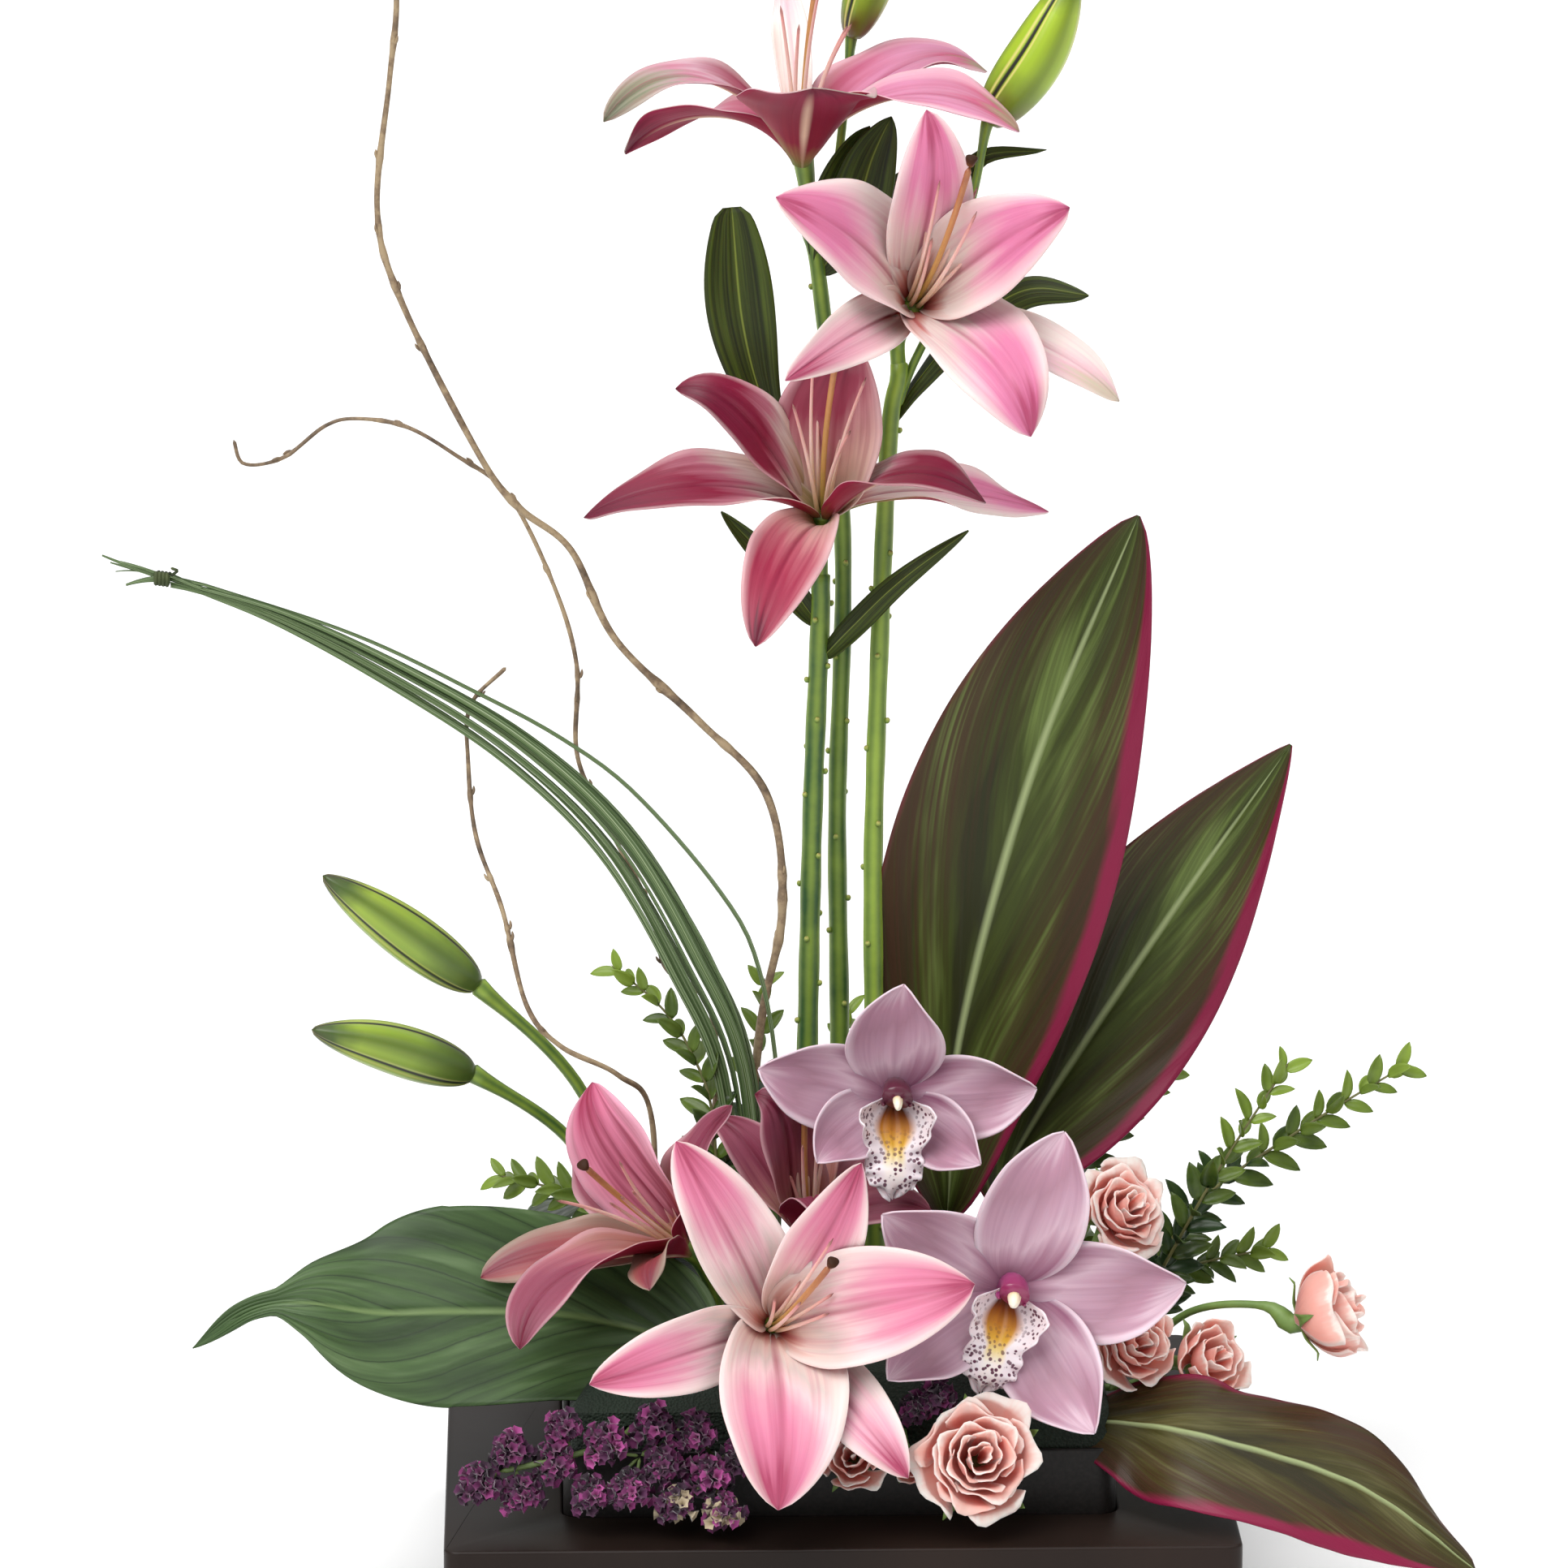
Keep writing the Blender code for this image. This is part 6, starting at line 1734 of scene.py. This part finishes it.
class FLOWERS_OT_willow(bpy.types.Operator):
    """Three curly willow twigs with their joints and resting buds"""

    bl_idname = "flowers.willow"
    bl_label = "Curly willow"

    def execute(self, context):
        bark = bark_material()
        for number, (name, (low, high, *route)) in enumerate(TWIGS.items()):
            made = twig(low, high, route, bark, random.Random(90 + number))
            dress(join(name.replace("willow", "willow_twig"), made), name)
        return {"FINISHED"}


# Each sprig: node, leaves, route
SPRIGS = {
    "myrtle_left_tall": (
        34, (-4.4, -0.9, 6.4), (-4.4, -0.8, 12.0), (-4.6, -0.3, 18.8), (-5.4, 0.2, 21.4), (-6.6, 0.6, 23.2),
        (-8.6, 0.8, 24.9)),
    "myrtle_left_small": (22, (-2.6, 4.6, 6.4), (-2.6, 4.6, 12.0), (-2.8, 4.4, 18.5), (-2.5, 4.2, 23.6)),
    "myrtle_right_tall": (
        38, (7.6, -0.6, 9.4), (10.9, -0.8, 9.7), (12.9, -2.2, 13.7), (14.8, -3.0, 17.5),
        (17.5, -3.0, 21.8)),
    "myrtle_right_long": (
        42, (7.6, 1.4, 9.4), (10.9, 1.2, 9.8), (14.1, 0.0, 15.2), (17.9, -0.6, 18.3), (22.3, -1.0, 21.2)),
    "myrtle_right_low": (26, (7.6, 3.2, 9.4), (10.9, 3.4, 9.6), (13.6, 2.4, 12.0), (17.2, 1.4, 13.2)),
    "myrtle_back_left": (30, (-7.4, 6.4, 6.4), (-7.4, 6.4, 12.0), (-9.4, 7.2, 13.8), (-13.0, 8.2, 14.6)),
    "myrtle_back_middle": (30, (0.8, 7.8, 6.4), (0.8, 7.8, 12.0), (1.0, 9.6, 16.4), (1.0, 12.4, 20.4)),
    "myrtle_back_low_left": (26, (-6.0, 7.4, 9.4), (-6.2, 10.9, 9.5), (-7.2, 14.2, 9.2), (-9.0, 17.6, 8.4)),
    "myrtle_back_low_right": (26, (6.0, 7.0, 9.4), (6.2, 10.9, 9.5), (8.6, 13.4, 10.0), (12.4, 14.6, 10.4)),
    "myrtle_back_right": (30, (8.2, 5.0, 6.4), (8.2, 5.0, 12.0), (10.2, 5.6, 16.0), (13.4, 6.6, 19.2)),
}


class MyrtleSettings(bpy.types.PropertyGroup):
    """Size of the myrtle leaves."""

    length: bpy.props.FloatProperty(
        name="Leaf length", description="Length of the largest leaves, in centimetres", default=1.75,
        min=0.5, max=3.0)
    width: bpy.props.FloatProperty(
        name="Leaf half width", description="Half width of a leaf, in centimetres, before it is scaled",
        default=0.46, min=0.1, max=1.0)


LEAF = 1.9  # length, in centimetres, of the leaf that the others are copies of


def sprig(leaves, route, start, length, model, wood, rng):
    """A thin sprig. Its leaves stand in crossed pairs, smaller and paler towards its tip."""
    steps = 80
    spine = through(route, steps)
    made = [paint(tube(spine, lambda v: 0.1 - 0.06 * v, 7, 60), wood)]
    sides = carried(spine)
    for pair in range(leaves // 2):
        share = start + (0.985 - start) * pair / (leaves // 2 - 1)
        k = min(steps - 2, int(share * steps))
        ahead = ahead_at(spine, k)
        for side in (0, 1):
            spoke = spoke_at(sides, k, pair * math.pi / 2 + side * math.pi + rng.uniform(-0.3, 0.3))
            heading = spoke * (0.75 - 0.3 * share) + ahead * rng.uniform(0.45, 0.75)
            size = length / LEAF * (1.0 - 0.4 * (share - start) / (1 - start)) * rng.uniform(0.8, 1.1)
            face = ahead * 0.6 + np.array([rng.uniform(-0.3, 0.3), -0.75, rng.uniform(0.0, 0.5)])
            tone = np.clip(0.08 + 0.9 * share**3.5 + rng.uniform(-0.2, 0.2), 0, 1)
            made.append(copied(model, spine[k] + spoke * 0.0006, heading, size, tone, face=face))
    return made


class FLOWERS_OT_myrtle(bpy.types.Operator):
    """Sprigs of myrtle with small glossy leaves in crossed pairs"""

    bl_idname = "flowers.myrtle"
    bl_label = "Myrtle"

    def execute(self, context):
        settings = context.scene.flowers_myrtle
        # Myrtle leaf: small, leathery and glossy, deep green with younger, yellower tips
        skin = plant_skin(
            "Myrtle leaf", "7C9434", "1E3413", 50.0, roughness=0.36, specular_ior_level=0.3,
            coat_weight=0.1, coat_roughness=0.25)
        # Myrtle wood: thin and dull, green-brown
        wood = plant_skin("Myrtle wood", "7A7A46", "4C4628", 90.0, roughness=0.6)
        t = np.linspace(0, 1, 10)[:, None]
        model = blade(
            np.hstack([t * 0, 0.004 * t**2, t * LEAF * CM]), (1, 0, 0),
            lambda v: settings.width * bell(v, 0.42, 0.85) + 0.02, 4, 7, cup=0.8,
            relief=lambda s, v: -0.03 * hump(s, 0.2))
        thick(paint(model, skin), 0.4)
        for number, (name, (leaves, *route)) in enumerate(SPRIGS.items()):
            start = 0.42 if "back" in name or "left" in name else 0.34
            made = sprig(leaves, route, start, settings.length, model, wood, random.Random(120 + number))
            dress(join(name.replace("myrtle", "myrtle_sprig"), made), name)
        bpy.data.objects.remove(model)
        return {"FINISHED"}


# ---- holder


class HolderSettings(bpy.types.PropertyGroup):
    """Finish of the planter."""

    rounding: bpy.props.FloatProperty(
        name="Edge rounding", description="Radius of the planter's eased edges", default=0.0022, min=0.0005,
        max=0.005, unit="LENGTH")
    lacquer: bpy.props.FloatVectorProperty(
        name="Lacquer", description="Colour of the planter's lacquer", default=gamma("1D1410"), **COLOUR)


def corner_block(name, low, high, corner):
    """A block whose four standing corners are rounded: a cube, with those edges bevelled in edit mode."""
    deselect()
    middle = [(a + b) / 2 for a, b in zip(low, high)]
    bpy.ops.mesh.primitive_cube_add(size=1, location=middle, scale=[b - a for a, b in zip(low, high)])
    made = bpy.context.object
    made.name = made.data.name = name
    bpy.ops.object.transform_apply(location=True, rotation=True, scale=True)
    bpy.ops.object.mode_set(mode="EDIT")
    bpy.ops.mesh.select_mode(type="EDGE")
    bpy.ops.mesh.select_all(action="DESELECT")
    shell = bmesh.from_edit_mesh(made.data)
    for edge in shell.edges:
        a, b = (vertex.co for vertex in edge.verts)
        edge.select_set(abs((b - a).normalized().z) > 0.9)
    bmesh.update_edit_mesh(made.data)
    bpy.ops.mesh.bevel(offset=corner, segments=10, affect="EDGES")
    bpy.ops.object.mode_set(mode="OBJECT")
    return made


def open_block(name, low, high, well_low, well_high, corner, well_corner, ease):
    """A block with a well cut down into it. Its standing corners are rounded and every edge is eased."""
    made = corner_block(name, low, high, corner)
    cutter = corner_block("well", well_low, (*well_high[:2], high[2] + 0.01), well_corner)
    apply_modifier(made, "BOOLEAN", operation="DIFFERENCE", object=cutter)
    bpy.data.objects.remove(cutter)
    apply_modifier(
        made, "BEVEL", width=ease, segments=4, limit_method="ANGLE", angle_limit=math.radians(50))
    deselect()
    made.select_set(True)
    bpy.context.view_layer.objects.active = made
    bpy.ops.object.shade_smooth_by_angle(angle=math.radians(40))
    return made


class FLOWERS_OT_holder(bpy.types.Operator):
    """The lacquered planter, the foam dish that drops into it, and the wet foam"""

    bl_idname = "flowers.holder"
    bl_label = "Planter, dish and foam"

    def execute(self, context):
        settings = context.scene.flowers_holder
        low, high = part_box("planter_base")
        tray_low, tray_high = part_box("foam_dish")
        play, wall = 0.0003, 0.0025  # round the dish in its well, and of the dish
        well_low, well_high = [c - play for c in tray_low], [c + play for c in tray_high]
        block = open_block(
            "lacquered_planter", low, high, well_low, well_high, corner=0.006, well_corner=0.008,
            ease=settings.rounding)
        dress(paint(block, lacquer_material(as_hex(settings.lacquer))), "planter_base")
        well_low, well_high = [c + wall for c in tray_low], [c - wall for c in tray_high]
        tray = open_block(
            "foam_tray", tray_low, tray_high, well_low, well_high, corner=0.008, well_corner=0.0055,
            ease=0.0009)
        dress(paint(tray, dish_material()), "foam_dish")
        foam = foam_material()
        for slot in bpy.data.objects["floral_foam"].material_slots:
            slot.material = foam
        return {"FINISHED"}


# ---- studio


class StageSettings(bpy.types.PropertyGroup):
    """Light and floor of the studio."""

    floor: bpy.props.FloatProperty(
        name="Floor width", description="Width of the pale floor under the arrangement", default=14.0,
        min=2.0, unit="LENGTH")
    key: bpy.props.FloatProperty(
        name="Overhead light", description="Strength of the broad soft light above", default=2.45, min=0.0)
    sky: bpy.props.FloatProperty(
        name="Surroundings", description="Strength of the white surroundings", default=0.36, min=0.0,
        max=3.0)


def soft_light(name, towards, spread, strength):
    """A very broad distant light, like a silk. towards points from the arrangement to the light."""
    light = bpy.data.lights.new(name, "SUN")
    light.angle, light.energy = math.radians(spread), strength
    made = bpy.data.objects.new(name, light)
    bpy.context.collection.objects.link(made)
    made.location = Vector(towards) * 2
    made.rotation_euler = Vector(towards).to_track_quat("Z", "Y").to_euler()


class FLOWERS_OT_stage(bpy.types.Operator):
    """Plain pale floor, soft studio light and the camera"""

    bl_idname = "flowers.stage"
    bl_label = "Studio"

    def execute(self, context):
        settings = context.scene.flowers_stage
        deselect()
        bpy.ops.mesh.primitive_plane_add(size=settings.floor, location=(0, 0, CAD_BOX[0][2] - 0.0005))
        floor = bpy.context.object
        floor.name = floor.data.name = "studio_floor"
        bpy.ops.object.transform_apply(location=True, rotation=True, scale=True)
        paint(floor, paper_material())
        world = bpy.data.worlds.new("Studio")
        context.scene.world = world
        world.use_nodes = True
        background = world.node_tree.nodes["Background"]
        background.inputs["Color"].default_value = linear("FFFFFF")
        background.inputs["Strength"].default_value = settings.sky
        soft_light("Overhead silk", (-0.55, -0.75, 0.95), 50.0, settings.key)
        soft_light("Ceiling bounce", (0.0, 0.1, 1.0), 90.0, settings.key * 0.6)
        soft_light("Side silk", (0.9, -0.5, 0.6), 60.0, settings.key * 0.12)
        camera = bpy.data.objects.new("Camera", bpy.data.cameras.new("Camera"))
        context.collection.objects.link(camera)
        camera.data.sensor_width, camera.data.lens = 36.0, 215.0
        camera.data.clip_start, camera.data.clip_end = 0.1, 50.0
        turn, tilt, distance = math.radians(-1.5), math.radians(12.0), 3.6
        target = Vector((-0.0186, 0.0, 0.3213))
        level_part = math.cos(tilt)
        towards = Vector((math.sin(turn) * level_part, -math.cos(turn) * level_part, math.sin(tilt)))
        camera.location = target + towards * distance
        camera.rotation_euler = (target - camera.location).to_track_quat("-Z", "Y").to_euler()
        context.scene.camera = camera
        context.scene.view_settings.view_transform = "Standard"
        return {"FINISHED"}


# ---- add-on


class FLOWERS_PT_panel(bpy.types.Panel):
    """Buttons that build the arrangement piece by piece"""

    bl_idname = "FLOWERS_PT_panel"
    bl_label = "Floral arrangement"
    bl_space_type = "VIEW_3D"
    bl_region_type = "UI"
    bl_category = "Flowers"

    def draw(self, context):
        for holder, kind in SETTINGS.items():
            box = self.layout.box()
            box.label(text=kind.__doc__)
            for name in kind.__annotations__:
                box.prop(getattr(context.scene, holder), name)
        for operator in BUILD_ORDER:
            self.layout.operator(operator.bl_idname)


BUILD_ORDER = (
    FLOWERS_OT_holder, FLOWERS_OT_lily_stems, FLOWERS_OT_lilies, FLOWERS_OT_lily_buds, FLOWERS_OT_orchids,
    FLOWERS_OT_roses, FLOWERS_OT_statice, FLOWERS_OT_broad_leaves, FLOWERS_OT_grass, FLOWERS_OT_willow,
    FLOWERS_OT_myrtle, FLOWERS_OT_stage,
)
SETTINGS = {
    "flowers_lily": LilySettings, "flowers_orchid": OrchidSettings, "flowers_rose": RoseSettings,
    "flowers_leaf": LeafSettings, "flowers_grass": GrassSettings, "flowers_myrtle": MyrtleSettings,
    "flowers_holder": HolderSettings, "flowers_stage": StageSettings,
}


def register():
    """Adds the add-on's classes, and its settings to every scene."""
    for group in (*SETTINGS.values(), *BUILD_ORDER, FLOWERS_PT_panel):
        bpy.utils.register_class(group)
    for name, group in SETTINGS.items():
        setattr(bpy.types.Scene, name, bpy.props.PointerProperty(type=group))


def unregister():
    """Takes the settings and the classes away again."""
    for name in SETTINGS:
        delattr(bpy.types.Scene, name)
    for group in reversed((*SETTINGS.values(), *BUILD_ORDER, FLOWERS_PT_panel)):
        bpy.utils.unregister_class(group)


def main():
    """Builds every piece in order."""
    register()
    for operator in BUILD_ORDER:
        group, name = operator.bl_idname.split(".")
        getattr(getattr(bpy.ops, group), name)()
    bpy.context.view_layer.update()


if __name__ == "__main__":
    main()
